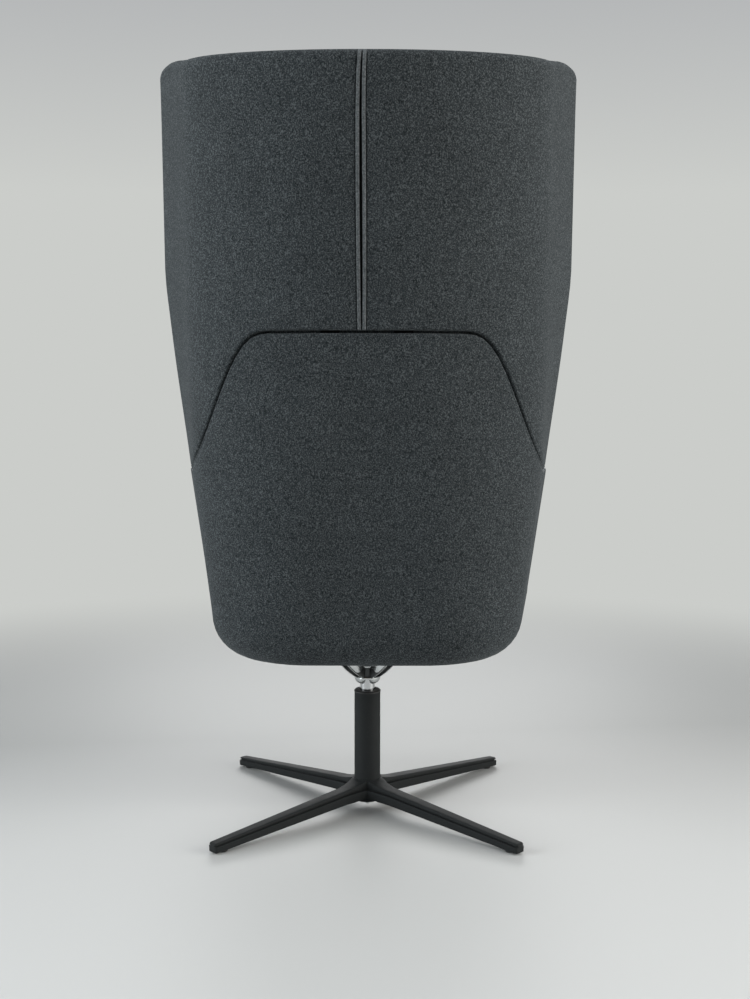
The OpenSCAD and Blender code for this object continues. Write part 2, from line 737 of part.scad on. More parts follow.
// Seat board and what hangs on it
rail_start = floor_edge_y + wall_t / 4;
board_end = [2, 1, wall_t * 0.8, 0, 0];
board_front_y = flange_pt(board_end, 0, fit)[1];
function board_outline(w) =
    [for (c = concat(
            [[-1, board_end]],
            [for (c = both_sides(columns(ply_out, arm_corner_r))) if (c[1][1] < 1) c],
            [[1, board_end]]
        ))
        let (q = side_pt(c[0], flange_pt(c[1], 0, w)))
        [q[0], max(q[1], board_front_y)]];
screw_r = 2.2;
screw_head_r = 2 * screw_r;
board_screw_places = [[0.8, 0], [2, 0.15], [2, 0.85]];
board_screw_l = board_t + ply_t * 0.7;
module board_screw_spots() {
    for (side = [-1, 1], q = board_screw_places) {
        c = [q[0], q[1], 0, 0, 0];
        p = side_pt(side, flange_pt(c, 0, flange_w * 0.45));
        translate([p[0], p[1], board_top]) children();
    }
}
module seat_board() {
    color("#c9a877")
        difference() {
            translate([0, 0, board_low])
                linear_extrude(height = board_t) polygon(board_outline(fit));
            spider_places()
                translate([pad_r, 0, board_low - cut])
                    cylinder(r = nut_barrel_r + run, h = board_t + 2 * cut, $fn = 48);
            spider_places()
                translate([pad_r, 0, board_top - nut_flange_t - run])
                    cylinder(r = nut_flange_r + run, h = nut_flange_t + cut, $fn = 48);
            board_screw_spots()
                translate([0, 0, -board_t - cut])
                    cylinder(r = screw_r + run, h = board_t + 2 * cut, $fn = 32);
            board_screw_spots()
                translate([0, 0, -screw_head_r + screw_r])
                    cylinder(r1 = screw_r + run, r2 = screw_head_r + run,
                             h = screw_head_r - screw_r + run, $fn = 32);
        }
}
module board_screws() {
    color(steel)
        board_screw_spots()
            union() {
                translate([0, 0, -board_screw_l])
                    cylinder(r = screw_r, h = board_screw_l, $fn = 32);
                translate([0, 0, -screw_head_r + screw_r])
                    cylinder(r1 = screw_r, r2 = screw_head_r, h = screw_head_r - screw_r, $fn = 32);
            }
}
module dust_cover() {
    color("#1f2021")
        difference() {
            translate([0, 0, board_low - dust_t])
                linear_extrude(height = dust_t) polygon(board_outline(flange_w + cut));
            translate([0, 0, board_low - dust_t - cut])
                cylinder(r = pad_r + pad_d / 2 + cut, h = dust_t + 2 * cut, $fn = 72);
        }
}
module front_rail() {
    low = floor_h + fit;
    nose = rim_r * 0.6;
    half = flange_pt(board_end, 0, flange_w)[0] - 3 * fit;
    color(wool)
        translate([-half, 0, 0])
            rotate([90, 0, 90])
                linear_extrude(height = 2 * half)
                    union() {
                        translate([rail_start + nose, low + nose]) circle(r = nose, $fn = 48);
                        translate([rail_start + nose, board_top - nose])
                            circle(r = nose, $fn = 48);
                        translate([rail_start, low + nose])
                            square([nose, board_top - low - 2 * nose]);
                        translate([rail_start + nose, low])
                            square([board_front_y - fit - rail_start - nose, board_top - low]);
                    }
}

// Walls
module shell_skin(out, in) {
    skin(
        [for (c = both_sides(columns(out, arm_corner_r))) shell_column(c[0], c[1], out)],
        [for (c = both_sides(columns(in, arm_corner_r))) shell_column(c[0], c[1], in)],
        even = true
    );
}
module hood_skin(out, in) {
    skin(
        [for (c = both_sides(columns(out, hood_corner_r))) hood_column(c[0], c[1], out)],
        [for (c = both_sides(columns(in, hood_corner_r))) hood_column(c[0], c[1], in)]
    );
}
module lower_shell() {
    color("#b08d5f")
        difference() {
            shell_skin(ply_out, ply_in);
            board_screw_spots()
                translate([0, 0, -board_screw_l - run])
                    cylinder(r = screw_r + run, h = board_screw_l, $fn = 32);
            strap_screw_spots()
                cylinder(r = screw_r + run, h = strap_screw_l + run, $fn = 32);
        }
}
module lower_cover() {
    color(wool)
        difference() {
            shell_skin(cover_out, cover_in);
            strap_notches();
        }
}
module lower_lining() {
    color(wool_inside)
        skin(
            [for (c = both_sides(columns(lining_out, arm_corner_r))) lining_column(c[0], c[1], lining_out)],
            [for (c = both_sides(columns(lining_in, arm_corner_r))) lining_column(c[0], c[1], lining_in)],
            even = true
        );
}
module hood_shell() {
    color("#b08d5f")
        difference() {
            hood_skin(ply_out, ply_in);
            strap_screw_spots()
                cylinder(r = screw_r + run, h = strap_screw_l + run, $fn = 32);
        }
}
module hood_half(side) {
    skin(
        [for (c = half_columns(cover_out, hood_corner_r)) hood_column(side, c, cover_out)],
        [for (c = half_columns(cover_in, hood_corner_r)) hood_column(side, c, cover_in)]
    );
}
module hood_cover_left() {
    color(wool)
        difference() {
            hood_half(-1);
            strap_notches();
        }
}
module hood_cover_right() {
    color(wool)
        difference() {
            hood_half(1);
            strap_notches();
        }
}
module hood_lining() {
    color(wool_inside) hood_skin(lining_out, lining_in);
}

// Steel straps join the two plywood shells behind the lining. Each lies on the chord
// between two places of the wall: beside the middle of the back, and on the wing.
strap_places = [[[1, 0], [1 + 1 / corner_steps, 0]], [[2, 0.15], [2, 0.45]]];
strap_screw_share = 0.33;
strap_screw_l = ply_t * 0.8;
strap_rows = 4;
function strap_end(z, q, d) = wall_pt(z, q[0], q[1] * hood_wing(arm_h), d);
function strap_seam(places) =
    (seam_z(places[0][0], places[0][1] * hood_wing(arm_h))
        + seam_z(places[1][0], places[1][1] * hood_wing(arm_h))) / 2;
function strap_along(places, z, d) = strap_end(z, places[1], d) - strap_end(z, places[0], d);
function strap_pt(side, places, up, d, across) =
    let (
        z = strap_seam(places) + up * strap_l,
        a = strap_along(places, z, d),
        p = (strap_end(z, places[0], d) + strap_end(z, places[1], d)) / 2 + across * a / norm(a)
    )
    side_pt(side, p);
function strap_grid(side, places, d, w = strap_w) =
    [for (i = [-side, side])
        [for (j = [0:strap_rows])
            strap_pt(side, places, j / strap_rows - 1 / 2, d, i * w / 2)]];
module strap_screw_spots() {
    for (side = [-1, 1], q = strap_places, up = [-1, 1]) {
        a = strap_along(q, strap_seam(q), strap_depth);
        heading = atan2(-a[1], a[0]);
        translate(strap_pt(side, q, up * strap_screw_share, strap_depth, 0))
            rotate([-90, 0, -side * heading]) children();
    }
}
module strap_notches() {
    for (side = [-1, 1], q = strap_places)
        skin(strap_grid(side, q, strap_depth - strap_fit / 2, strap_w + strap_fit),
             strap_grid(side, q, lining_m, strap_w + strap_fit));
}
module joining_straps() {
    color("#3a3d3f")
        difference() {
            for (side = [-1, 1], q = strap_places)
                skin(strap_grid(side, q, strap_depth), strap_grid(side, q, strap_depth + strap_t));
            strap_screw_spots()
                translate([0, 0, -2 * strap_t])
                    cylinder(r = screw_r + 2 * run, h = 4 * strap_t, $fn = 32);
        }
}
module strap_screws() {
    color(steel)
        strap_screw_spots()
            translate([0, 0, -strap_t])
                cylinder(r = screw_r, h = strap_screw_l + strap_t, $fn = 32);
}

// Seat cushion: rings that bulge at the sides, then close over a crown
cushion_shares = [[0, 1], [0.16, 0.15], [0.5, 0], [0.8, 0.3], [0.94, 1], [1, 2]];
crown_shares = [0.15, 0.4, 0.7];
crown_rise_shares = [0.35, 0.75, 0.97];
cushion_soft = 9;
front_points = 5;
cushion_clear = 6;
function cushion_ring(inset) =
    let (
        cols = [for (c = both_sides(columns(ply_out, arm_corner_r))) if (c[1][1] < 1) c],
        tip = [2, 1, cushion_soft - cushion_proud, 0, 0],
        d = wall_t + cushion_clear + inset,
        sides = [for (c = concat([[-1, tip]], cols, [[1, tip]]))
            let (
                l = wing_at(c[1], arm_wing(turn_h), arm_corner_r) - (c[1][1] == 1 ? inset : 0),
                pull = cushion_pull * sin(180 * min(1, l / arm_wing(turn_h))),
                corner = c[1][1] == 1 ? cushion_soft : 0,
                q = wall_pt(turn_h, c[1][0], l, d + pull + corner)
            )
            side_pt(c[0], q)],
        end = sides[len(sides) - 1],
        front = [for (i = [1:front_points])
            let (t = 1 - 2 * i / (front_points + 1))
            [end[0] * t, end[1] - (cushion_soft + cushion_pull) * (1 - t * t), 0]]
    )
    concat(sides, front);
module seat_cushion() {
    centre = [0, (back_y(turn_h) + floor_edge_y) / 2 - wall_t];
    low = [for (s = cushion_shares)
        [for (q = cushion_ring(cushion_soft * s[1])) [q[0], q[1], seat_low + cushion_h * s[0]]]];
    last = low[len(low) - 1];
    crown = [for (i = [0:len(crown_shares) - 1])
        [for (q = last) [
            lerp(q[0], centre[0], crown_shares[i]),
            lerp(q[1], centre[1], crown_shares[i]),
            seat_edge_h + cushion_crown * crown_rise_shares[i]
        ]]];
    color(wool_inside) loft([for (r = concat(low, crown)) [for (k = [len(r) - 1:-1:0]) r[k]]]);
}

// Back cushion: a pad on the lining, thickest at the loins
back_low_h = seat_edge_h + back_gap;
back_fit = 1;
back_edge_shares = [[0, 0.35], [0.02, 0.75], [0.06, 1]];
back_row_levels =
    [(turn_h + arm_h) / 2, arm_h, lerp(arm_h, kink_h, 1 / 3), lerp(arm_h, kink_h, 2 / 3), kink_h];
back_places = [0, 0.5, 1, 1.125, 1.25, 1.375, 1.5, 1.625];
back_fall_shares = [1, 1, 0.97, 0.92, 0.84, 0.72, 0.52, 0.26];
loin_share = 0.25;
function back_heights() = concat(
    [for (q = back_edge_shares) q],
    [for (z = back_row_levels) [(z - back_low_h) / (back_top_h - back_low_h), 1]],
    [for (i = [2:-1:0]) [1 - back_edge_shares[i][0], back_edge_shares[i][1]]]
);
function back_thick(t) =
    t < loin_share ? lerp(back_t * 0.85, back_t, t / loin_share)
                   : lerp(back_t, back_top_t, (t - loin_share) / (1 - loin_share));
function back_grid(full) =
    let (n = len(back_places) - 1)
    [for (k = [-n:n])
        let (p = back_places[abs(k)], fall = back_fall_shares[abs(k)])
        [for (q = back_heights())
            let (
                z = lerp(back_low_h, back_top_h, q[0]),
                d = wall_t + back_fit + (full ? back_thick(q[0]) * q[1] * fall : 0)
            )
            side_pt(k < 0 ? -1 : 1, wall_pt(z, p, 0, d))]];
module back_cushion() {
    color(wool_inside) skin(back_grid(false), back_grid(true), even = true);
}

four_star_base();
foot_glides();
column_tube();
column_end_plate();
column_rod();
rod_washer();
rod_clip();
buffer_ring();
lower_race();
ball_cage();
thrust_balls();
column_bush();
upper_race();
column_shaft();
spider();
spider_washers();
spider_bolts();
t_nuts();
seat_board();
board_screws();
dust_cover();
front_rail();
lower_shell();
lower_cover();
lower_lining();
hood_shell();
hood_cover_left();
hood_cover_right();
hood_lining();
joining_straps();
strap_screws();
seat_cushion();
back_cushion();
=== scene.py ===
# %% [markdown]
# # High back lounge chair, dressed
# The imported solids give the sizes, the fits and the joint. This lesson puts the surfaces on
# them: felt stretched over moulded walls, stuffed cushions, a cast base and a bright spider.
# Loading the frame comes first, because every later piece is placed from it.

import json
import math

import bmesh
import bpy
import numpy as np
from mathutils import Matrix, Vector

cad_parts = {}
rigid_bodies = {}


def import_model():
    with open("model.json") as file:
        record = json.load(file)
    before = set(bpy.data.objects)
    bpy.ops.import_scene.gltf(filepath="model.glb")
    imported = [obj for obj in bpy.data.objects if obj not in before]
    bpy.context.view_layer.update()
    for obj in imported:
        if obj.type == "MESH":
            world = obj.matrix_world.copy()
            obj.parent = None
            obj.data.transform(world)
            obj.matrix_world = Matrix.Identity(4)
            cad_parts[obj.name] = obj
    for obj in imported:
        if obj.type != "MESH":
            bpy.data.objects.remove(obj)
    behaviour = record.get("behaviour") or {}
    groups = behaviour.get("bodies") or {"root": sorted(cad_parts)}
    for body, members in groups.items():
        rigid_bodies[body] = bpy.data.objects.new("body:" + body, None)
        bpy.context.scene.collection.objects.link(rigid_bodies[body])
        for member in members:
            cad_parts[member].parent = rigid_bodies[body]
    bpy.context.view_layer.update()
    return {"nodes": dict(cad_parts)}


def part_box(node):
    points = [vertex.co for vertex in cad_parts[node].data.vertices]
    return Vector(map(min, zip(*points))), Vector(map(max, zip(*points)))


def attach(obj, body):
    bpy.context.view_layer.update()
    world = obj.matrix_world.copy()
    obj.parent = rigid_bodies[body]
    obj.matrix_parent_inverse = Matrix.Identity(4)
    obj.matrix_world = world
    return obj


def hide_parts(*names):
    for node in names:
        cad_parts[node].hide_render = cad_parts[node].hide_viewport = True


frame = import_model()


MM = 0.001
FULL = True

# %% [markdown]
# ## Camera
# The chair is seen from behind, from a little above the middle of its back. A camera needs a
# place, a direction and a focal length. All three come from one fit to the outline of the
# chair, so the camera is placed by numbers and not by eye. Sensor fit stays automatic: the
# sensor width then lies along the picture's long side.

# %% Make the camera
PICTURE_LONG_SIDE, FOCAL_PX, SENSOR = 999, 1312.0, 36.0
CAMERA_PLACE, TILT_DOWN, ROLL = (-0.014, 2.493, 0.817), 5.03, 0.1

camera_data = bpy.data.cameras.new("camera")
camera_data.sensor_width = SENSOR
camera_data.lens = FOCAL_PX / PICTURE_LONG_SIDE * SENSOR
camera_data.clip_end = 60.0
camera = bpy.data.objects.new("camera", camera_data)
bpy.context.scene.collection.objects.link(camera)
camera.matrix_world = (
    Matrix.Translation(CAMERA_PLACE)
    @ Matrix.Rotation(math.pi, 4, "Z")
    @ Matrix.Rotation(math.radians(90.0 - TILT_DOWN), 4, "X")
    @ Matrix.Rotation(math.radians(ROLL), 4, "Z")
)
bpy.context.scene.camera = camera
print("lens", round(camera_data.lens, 2), "mm")

# %% [markdown]
# ## Floor and light
# A studio gives soft light from two sides, so the round back is darker in the middle than at
# the wings. Two large area lamps do that; two weaker ones, in front and above, keep the
# sitter's side and the top edge readable.
# The floor is a wide disc. Far out it turns into the same shade as the background, so that no
# horizon shows; near the chair it is a pale surface that keeps the shadow, with painted light
# falloff in its colour: lighter towards +Y, darker towards -Y and a little towards +X.

# %% Small helpers for shader nodes
def new_material(name):
    material = bpy.data.materials.new(name)
    material.use_nodes = True
    material.node_tree.nodes.clear()
    return material, material.node_tree


def give(tree, socket, value):
    """Links a socket to another node's output, or sets it to a number or a colour."""
    if isinstance(value, bpy.types.NodeSocket):
        tree.links.new(value, socket)
    elif socket.type == "RGBA":
        socket.default_value = (*value, 1.0)
    else:
        socket.default_value = value


def add(tree, kind, inputs=(), **settings):
    """A new node with its settings and with what its inputs are given, by name or number."""
    node = tree.nodes.new(kind)
    for key, value in settings.items():
        setattr(node, key, value)
    for key, value in dict(inputs).items():
        give(tree, node.inputs[key], value)
    return node


def grey(v):
    return (v, v, v)


def ramp(tree, source, stops):
    """Stops are pairs of a place and a colour; a number stands for a grey."""
    node = add(tree, "ShaderNodeValToRGB", {"Fac": source})
    elements = node.color_ramp.elements
    while len(elements) < len(stops):
        elements.new(0.5)
    for element, (place, colour) in zip(elements, stops):
        element.position = place
        element.color = (*(grey(colour) if isinstance(colour, float) else colour), 1.0)
    return node.outputs["Color"]


def math_node(tree, operation, *values):
    return add(tree, "ShaderNodeMath", enumerate(values), operation=operation).outputs["Value"]


def mix_shaders(tree, factor, first, second):
    inputs = {"Fac": factor, 1: first.outputs[0], 2: second.outputs[0]}
    return add(tree, "ShaderNodeMixShader", inputs)


def linear(r, g, b):
    """A colour given in display values from 0 to 255, as linear light."""
    def one(c):
        c /= 255.0
        return c / 12.92 if c <= 0.04045 else ((c + 0.055) / 1.055) ** 2.4
    return (one(r), one(g), one(b))


BACKGROUND = linear(203, 205, 202)
# Painted light on the floor: lightest towards +Y, with a darker band of painted shade towards
# -Y.
FLOOR_PAINTED_LIGHT = linear(211, 212, 211)
FLOOR_PAINTED_MID = linear(187, 188, 187)
FLOOR_PAINTED_SHADE = linear(160, 161, 160)
# Painted shade: the backdrop is darker towards the top, as seen by the camera and in mirrors.
BACKDROP_TOP_SHADE = linear(176, 178, 180)

# %% Build the floor
FLOOR_R, FADE_FROM, FADE_TO = 40.0, 1.3, 2.7


def make_floor():
    material, tree = new_material("pale_floor")
    coords = add(tree, "ShaderNodeTexCoord").outputs["Object"]
    length = add(tree, "ShaderNodeVectorMath", {0: coords}, operation="LENGTH")
    fade = add(tree, "ShaderNodeMapRange",
               {"Value": length.outputs["Value"], "From Min": FADE_FROM, "From Max": FADE_TO},
               interpolation_type="SMOOTHSTEP").outputs["Result"]
    axes = add(tree, "ShaderNodeSeparateXYZ", {0: coords}).outputs
    # Painted light falloff: the floor's colour is lighter towards +Y, darker towards -Y and +X.
    towards = math_node(tree, "MULTIPLY_ADD", axes["Y"], 0.25, 0.5)
    towards = math_node(tree, "MULTIPLY_ADD", axes["X"], -0.03, towards)
    shade = ramp(tree, towards, [(0.2, FLOOR_PAINTED_SHADE), (0.37, FLOOR_PAINTED_SHADE), (0.5, FLOOR_PAINTED_MID),
                                 (0.72, FLOOR_PAINTED_LIGHT)])
    near = add(tree, "ShaderNodeBsdfPrincipled",
               {"Base Color": shade, "Roughness": 0.55, "Specular IOR Level": 0.25})
    far = add(tree, "ShaderNodeEmission", {"Color": BACKGROUND})
    # From below the floor is clear, so that the chair's underside can be seen.
    below = add(tree, "ShaderNodeNewGeometry").outputs["Backfacing"]
    seen = mix_shaders(tree, below, mix_shaders(tree, fade, near, far),
                       add(tree, "ShaderNodeBsdfTransparent"))
    add(tree, "ShaderNodeOutputMaterial", {"Surface": seen.outputs[0]})
    bm = bmesh.new()
    bmesh.ops.create_circle(bm, cap_ends=True, segments=96, radius=FLOOR_R)
    mesh = bpy.data.meshes.new("floor")
    bm.to_mesh(mesh)
    bm.free()
    mesh.materials.append(material)
    floor = bpy.data.objects.new("floor", mesh)
    bpy.context.scene.collection.objects.link(floor)
    print("floor", len(mesh.vertices), "points")


make_floor()

# %% Light the studio
def make_world():
    """Lights the room evenly; camera and mirrors see a plain wall with painted shade towards
    the top.
    """
    world = bpy.data.worlds.new("studio")
    bpy.context.scene.world = world
    world.use_nodes = True
    tree = world.node_tree
    tree.nodes.clear()
    path = add(tree, "ShaderNodeLightPath").outputs
    seen = math_node(tree, "MAXIMUM", path["Is Camera Ray"], path["Is Glossy Ray"])
    room = add(tree, "ShaderNodeBackground", {"Color": (0.93, 0.97, 1.0), "Strength": 0.34})
    coords = add(tree, "ShaderNodeTexCoord").outputs["Generated"]
    up = add(tree, "ShaderNodeSeparateXYZ", {0: coords}).outputs["Z"]
    # Painted shade: above level, the backdrop darkens towards the top.
    painted_backdrop = ramp(tree, up, [(0.0, BACKGROUND), (0.14, BACKGROUND), (0.3, BACKDROP_TOP_SHADE)])
    shown = add(tree, "ShaderNodeBackground", {"Color": painted_backdrop, "Strength": 1.0})
    mixed = mix_shaders(tree, seen, room, shown)
    add(tree, "ShaderNodeOutputWorld", {"Surface": mixed.outputs[0]})


# Each lamp: place, size, watts, colour. All point at the middle of the chair.
LAMP_TARGET = Vector((0.0, 0.0, 0.8))
LAMPS = {
    "window_left": ((3.6, 1.1, 1.5), (2.2, 2.4), 52.0, (0.93, 0.98, 1.0)),
    "window_right": ((-3.6, 1.1, 1.5), (2.2, 2.4), 52.0, (1.0, 0.98, 0.93)),
    "front_fill": ((0.0, -3.6, 2.0), (2.4, 1.8), 40.0, (1.0, 1.0, 1.0)),
    "ceiling": ((0.0, 0.4, 3.6), (2.6, 2.6), 20.0, (1.0, 1.0, 1.0)),
}


def area_lamp(name, place, size, watts, colour):
    data = bpy.data.lights.new(name, "AREA")
    data.shape = "RECTANGLE"
    data.size, data.size_y = size
    data.energy = watts
    data.spread = math.radians(120.0)
    data.color = colour
    lamp = bpy.data.objects.new(name, data)
    bpy.context.scene.collection.objects.link(lamp)
    lamp.location = place
    lamp.rotation_mode = "QUATERNION"
    lamp.rotation_quaternion = (LAMP_TARGET - Vector(place)).to_track_quat("-Z", "Y")


make_world()
for lamp_name, lamp_row in LAMPS.items():
    area_lamp(lamp_name, *lamp_row)
bpy.context.scene.view_settings.view_transform = "Standard"
print("lamps", list(LAMPS))

# %% [markdown]
# ## The wall's surface
# Both upholstered parts lie on one surface: at each height a flat strip behind the sitter, a
# round corner and a flat wing. A sculpted mesh would lose the fit between the parts, so the
# surface is a function of height, place and depth, the same one as the solids have. Its
# sizes repeat here in millimetres, and each skin asks the function for its own depth.

# %% The wall as a function
HOOD_TOP, HOOD_BACK, RECLINE = 1344.0, 365.0, math.radians(9.0)
KINK, HOOD_EDGE = 1020.0, -120.0
FLOOR_H, TURN_R, ARM_H, SEAM_H = 309.0, 75.0, 645.0, 904.0
ARM_EDGE, FLOOR_EDGE = -296.0, -340.0
TURN_H = FLOOR_H + TURN_R
HOOD_CORNER, ARM_CORNER = 32.0, 52.0
SEAM_GAP, WALL, FLANGE = 5.0, 42.0, 35.0
SECTION_H = np.array([FLOOR_H, ARM_H, KINK, HOOD_TOP])
SECTION_FLAT = np.array([110.0, 80.0, 20.0, 20.0])
SECTION_FLARE = np.radians([8.0, 9.0, 18.0, 18.0])
SECTION_HALF = np.array([306.0, 352.0, 398.0, 394.0])
CREASE_SOFTNESS = 26.0


def arr(v):
    return np.asarray(v, float)


def soft_table(z, values):
    """The values between the sections, averaged over a short height so that no edge shows."""
    total = 0.0
    offsets = np.linspace(-1.0, 1.0, 9) * CREASE_SOFTNESS
    for offset in offsets:
        total = total + np.interp(z + offset, SECTION_H, values)
    return total / len(offsets)


def section(z):
    return (soft_table(z, SECTION_FLAT), soft_table(z, SECTION_FLARE),
            soft_table(z, SECTION_HALF))


def back_y(z):
    return HOOD_BACK - (HOOD_TOP - z) * math.tan(RECLINE)


def gauge_y(z):
    return HOOD_EDGE + np.maximum(0.0, z - KINK) * math.tan(RECLINE)


def corner_radius(z):
    flat, flare, half = section(z)
    reach = back_y(z) - gauge_y(z)
    return ((half - flat) * np.cos(flare) - reach * np.sin(flare)) / (1.0 - np.sin(flare))


def wall(z, place, along, depth):
    """Points in mm. place: 0 to 1 over the flat strip, to 2 round the corner, then the wing."""
    z, place, along, depth = np.broadcast_arrays(arr(z), arr(place), arr(along), arr(depth))
    flat, flare, _ = section(z)
    radius = corner_radius(z)
    turn = np.clip(place - 1.0, 0.0, 1.0) * (math.pi / 2 - flare)
    x = flat * np.minimum(place, 1.0) + (radius - depth) * np.sin(turn) + along * np.sin(flare)
    y = back_y(z) - radius + (radius - depth) * np.cos(turn) - along * np.cos(flare)
    return np.stack([x, y, z], -1)


def wing_length(z, edge_y):
    _, flare, _ = section(z)
    return (back_y(z) - corner_radius(z) * (1.0 - np.sin(flare)) - edge_y) / np.cos(flare)


def hood_wing(z):
    return wing_length(z, gauge_y(z))


def arm_wing(z):
    share = (np.minimum(z, ARM_H) - FLOOR_H) / (ARM_H - FLOOR_H)
    return wing_length(z, FLOOR_EDGE + share * (ARM_EDGE - FLOOR_EDGE))


# %% The seam's height
WING_UNIT = 176.0
SEAM_START, SEAM_WIDTH, SEAM_POWER = 1.33, 0.314, 3.0
SEAM_STEP, STEEPEST = 0.02, 2.4


def seam_z(place, along):
    t = np.maximum(0.0, place + along / WING_UNIT - SEAM_START) / SEAM_WIDTH
    return ARM_H + (SEAM_H - ARM_H) / (1.0 + t ** SEAM_POWER)


def seam_steepness(place, along):
    """How much a step across the slanted seam grows when it is taken straight up."""
    step = SEAM_STEP
    z = seam_z(place, along)
    radius = corner_radius(z)
    _, flare, _ = section(z)
    corner_run = 2 * step * radius * (math.pi / 2 - flare)
    corner_rise = seam_z(place - step, along) - seam_z(place + step, along)
    wing_run = 2 * step * WING_UNIT
    wing_rise = (seam_z(place, along - step * WING_UNIT)
                 - seam_z(place, along + step * WING_UNIT))
    slope = np.where(place < 2.0, corner_rise / corner_run, wing_rise / wing_run)
    return np.minimum(STEEPEST, np.sqrt(1.0 + slope ** 2))


probe = seam_z(arr([0.0, 1.5, 2.0]), arr([0.0, 0.0, 0.0]))
print("seam heights in mm", probe.round(1))

# %% [markdown]
# ## From grids to skins
# A felt cover is a thin sheet with rolled edges. It is built as two grids of points, one for
# the face and one for the back of the cloth, joined along their four borders. Grids keep the
# columns of neighbouring skins in line, so they follow each other without touching. The edge
# rows lie closer together, because a rolled edge needs them and a plain wall doesn't.

# %% Turn point grids into a mesh object
def mesh_object(name, points, faces, body, material, sharp=None, more=(), finish=None):
    """finish: for each face, 0 for the material or the number of one of the others in more."""
    mesh = bpy.data.meshes.new(name)
    mesh.from_pydata([tuple(p) for p in np.asarray(points) * MM], [], faces)
    for look in (material, *more):
        mesh.materials.append(look)
    if finish is not None:
        mesh.polygons.foreach_set("material_index", finish)
    mesh.validate()
    bm = bmesh.new()
    bm.from_mesh(mesh)
    bmesh.ops.remove_doubles(bm, verts=bm.verts, dist=0.00005)
    bmesh.ops.recalc_face_normals(bm, faces=bm.faces)
    for edge in bm.edges if sharp else ():
        if len(edge.link_faces) == 2 and edge.calc_face_angle(0.0) > math.radians(sharp):
            edge.smooth = False
    bm.to_mesh(mesh)
    bm.free()
    for polygon in mesh.polygons:
        polygon.use_smooth = True
    made = bpy.data.objects.new(name, mesh)
    bpy.context.scene.collection.objects.link(made)
    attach(made, body)
    print(name, len(mesh.polygons), "faces")
    return made


def grid_faces(m, n, ring=False, loop=False):
    """Faces between m rows of n points. ring closes each row, loop joins last and first."""
    return [(i * n + j, i * n + (j + 1) % n, (i + 1) % m * n + (j + 1) % n, (i + 1) % m * n + j)
            for i in range(m if loop else m - 1) for j in range(n if ring else n - 1)]


def sheet(rows):
    return np.concatenate(rows), grid_faces(len(rows), len(rows[0]))


def wrapped(rings):
    """Points and faces of rings that close on themselves both ways."""
    return np.concatenate(rings), grid_faces(len(rings), len(rings[0]), True, True)


def closed_rings(rings):
    """Points and faces of a closed form from equal rings; the first and last are capped."""
    m, n = len(rings), len(rings[0])
    caps = [tuple(range(n))[::-1], tuple(range((m - 1) * n, m * n))]
    return np.concatenate(rings), grid_faces(m, n, True) + caps


def circle(radius, z, middle=0.0, steps=48):
    turns = np.arange(steps) * 2 * math.pi / steps
    return np.column_stack([middle + radius * np.cos(turns), radius * np.sin(turns),
                            np.full(steps, z)])


def joined(parts):
    """One set of points and faces from several."""
    points, faces, count = [], [], 0
    for part, part_faces in parts:
        points.append(part)
        faces += [tuple(count + i for i in face) for face in part_faces]
        count += len(part)
    return np.concatenate(points), faces


def about(angle):
    """The matrix that turns rows of points about the upright axis."""
    c, s = math.cos(angle), math.sin(angle)
    return np.array([[c, s, 0.0], [-s, c, 0.0], [0.0, 0.0, 1.0]])


def skin_object(name, outer, inner, body, material, more=(), finish=None):
    """outer and inner: the skin's two faces, as arrays of columns x rows x 3."""
    columns, rows, _ = outer.shape
    count = columns * rows
    grid = grid_faces(columns, rows)
    points, faces = joined([(outer.reshape(-1, 3), grid), (inner.reshape(-1, 3), grid)])
    rim = [(i * rows + j, (i + 1) * rows + j)
           for i in range(columns - 1) for j in (0, rows - 1)]
    rim += [(i * rows + j, i * rows + j + 1)
            for j in range(rows - 1) for i in (0, columns - 1)]
    faces += [(a, b, b + count, a + count) for a, b in rim]
    if finish is not None:
        finish = finish + [0] * (len(faces) - len(finish))
    return mesh_object(name, points, faces, body, material, more=more, finish=finish)


def half_grid(make_column, columns, *rest):
    return np.stack([make_column(column, *rest) for column in columns])


def mirrored(columns):
    """Adds the other half: columns run from the middle out, sharing the middle one."""
    other = columns[:0:-1].copy()
    other[:, :, 0] *= -1.0
    return np.concatenate([other, columns])


# %% [markdown]
# ### Rolled edges
# At a free edge the cloth turns round the wall in a quarter circle and runs on to the middle
# of the wall's thickness, where it meets the lining. An edge is a list of pairs, the distance
# in from the edge and the depth. Along the seam the radius is small and a line of stitching
# pulls a shallow groove 7 mm inside the edge.

# %% Edge profiles
RIM, SEAM_RIM, COVER, EDGE_GAP, EDGE_STEPS = 16.0, 4.5, 4.0, 0.6, 6
MID = WALL / 2
STITCH_IN, STITCH_HALF, STITCH_DEEP = 7.5, 1.5, 0.9


def quarter(thick, middle, radius):
    """The way round an edge, for a face that lies thick below the outside."""
    angles = np.linspace(math.pi / 2, 0.0, EDGE_STEPS + 1)
    r = max(radius - thick, 0.6)
    pairs = [(thick, middle), (thick, (middle + radius) / 2)]
    pairs += [(thick + r * (1 - math.sin(a)), thick + r * (1 - math.cos(a))) for a in angles]
    return pairs


def stitched(pairs, deep):
    return pairs + [(STITCH_IN - STITCH_HALF, pairs[-1][1]), (STITCH_IN, pairs[-1][1] + deep),
                    (STITCH_IN + STITCH_HALF, pairs[-1][1]),
                    (STITCH_IN + 4 * STITCH_HALF, pairs[-1][1])]


def inside(pairs):
    return [(e, WALL - d) for e, d in pairs]


COVER_MID, LINING_MID = MID - EDGE_GAP, MID + EDGE_GAP
FREE_OUT = quarter(0.0, COVER_MID, RIM)
FREE_IN = quarter(COVER, COVER_MID, RIM)
SEAM_OUT = stitched(quarter(0.0, COVER_MID, SEAM_RIM), STITCH_DEEP)
SEAM_IN = stitched(quarter(COVER, COVER_MID, SEAM_RIM), 0.0)
print("rows in a seam edge", len(SEAM_OUT), "and in a free edge", len(FREE_OUT))

# %% Columns of half a wall
CORNER_STEPS, WING_STEPS = 26, 9


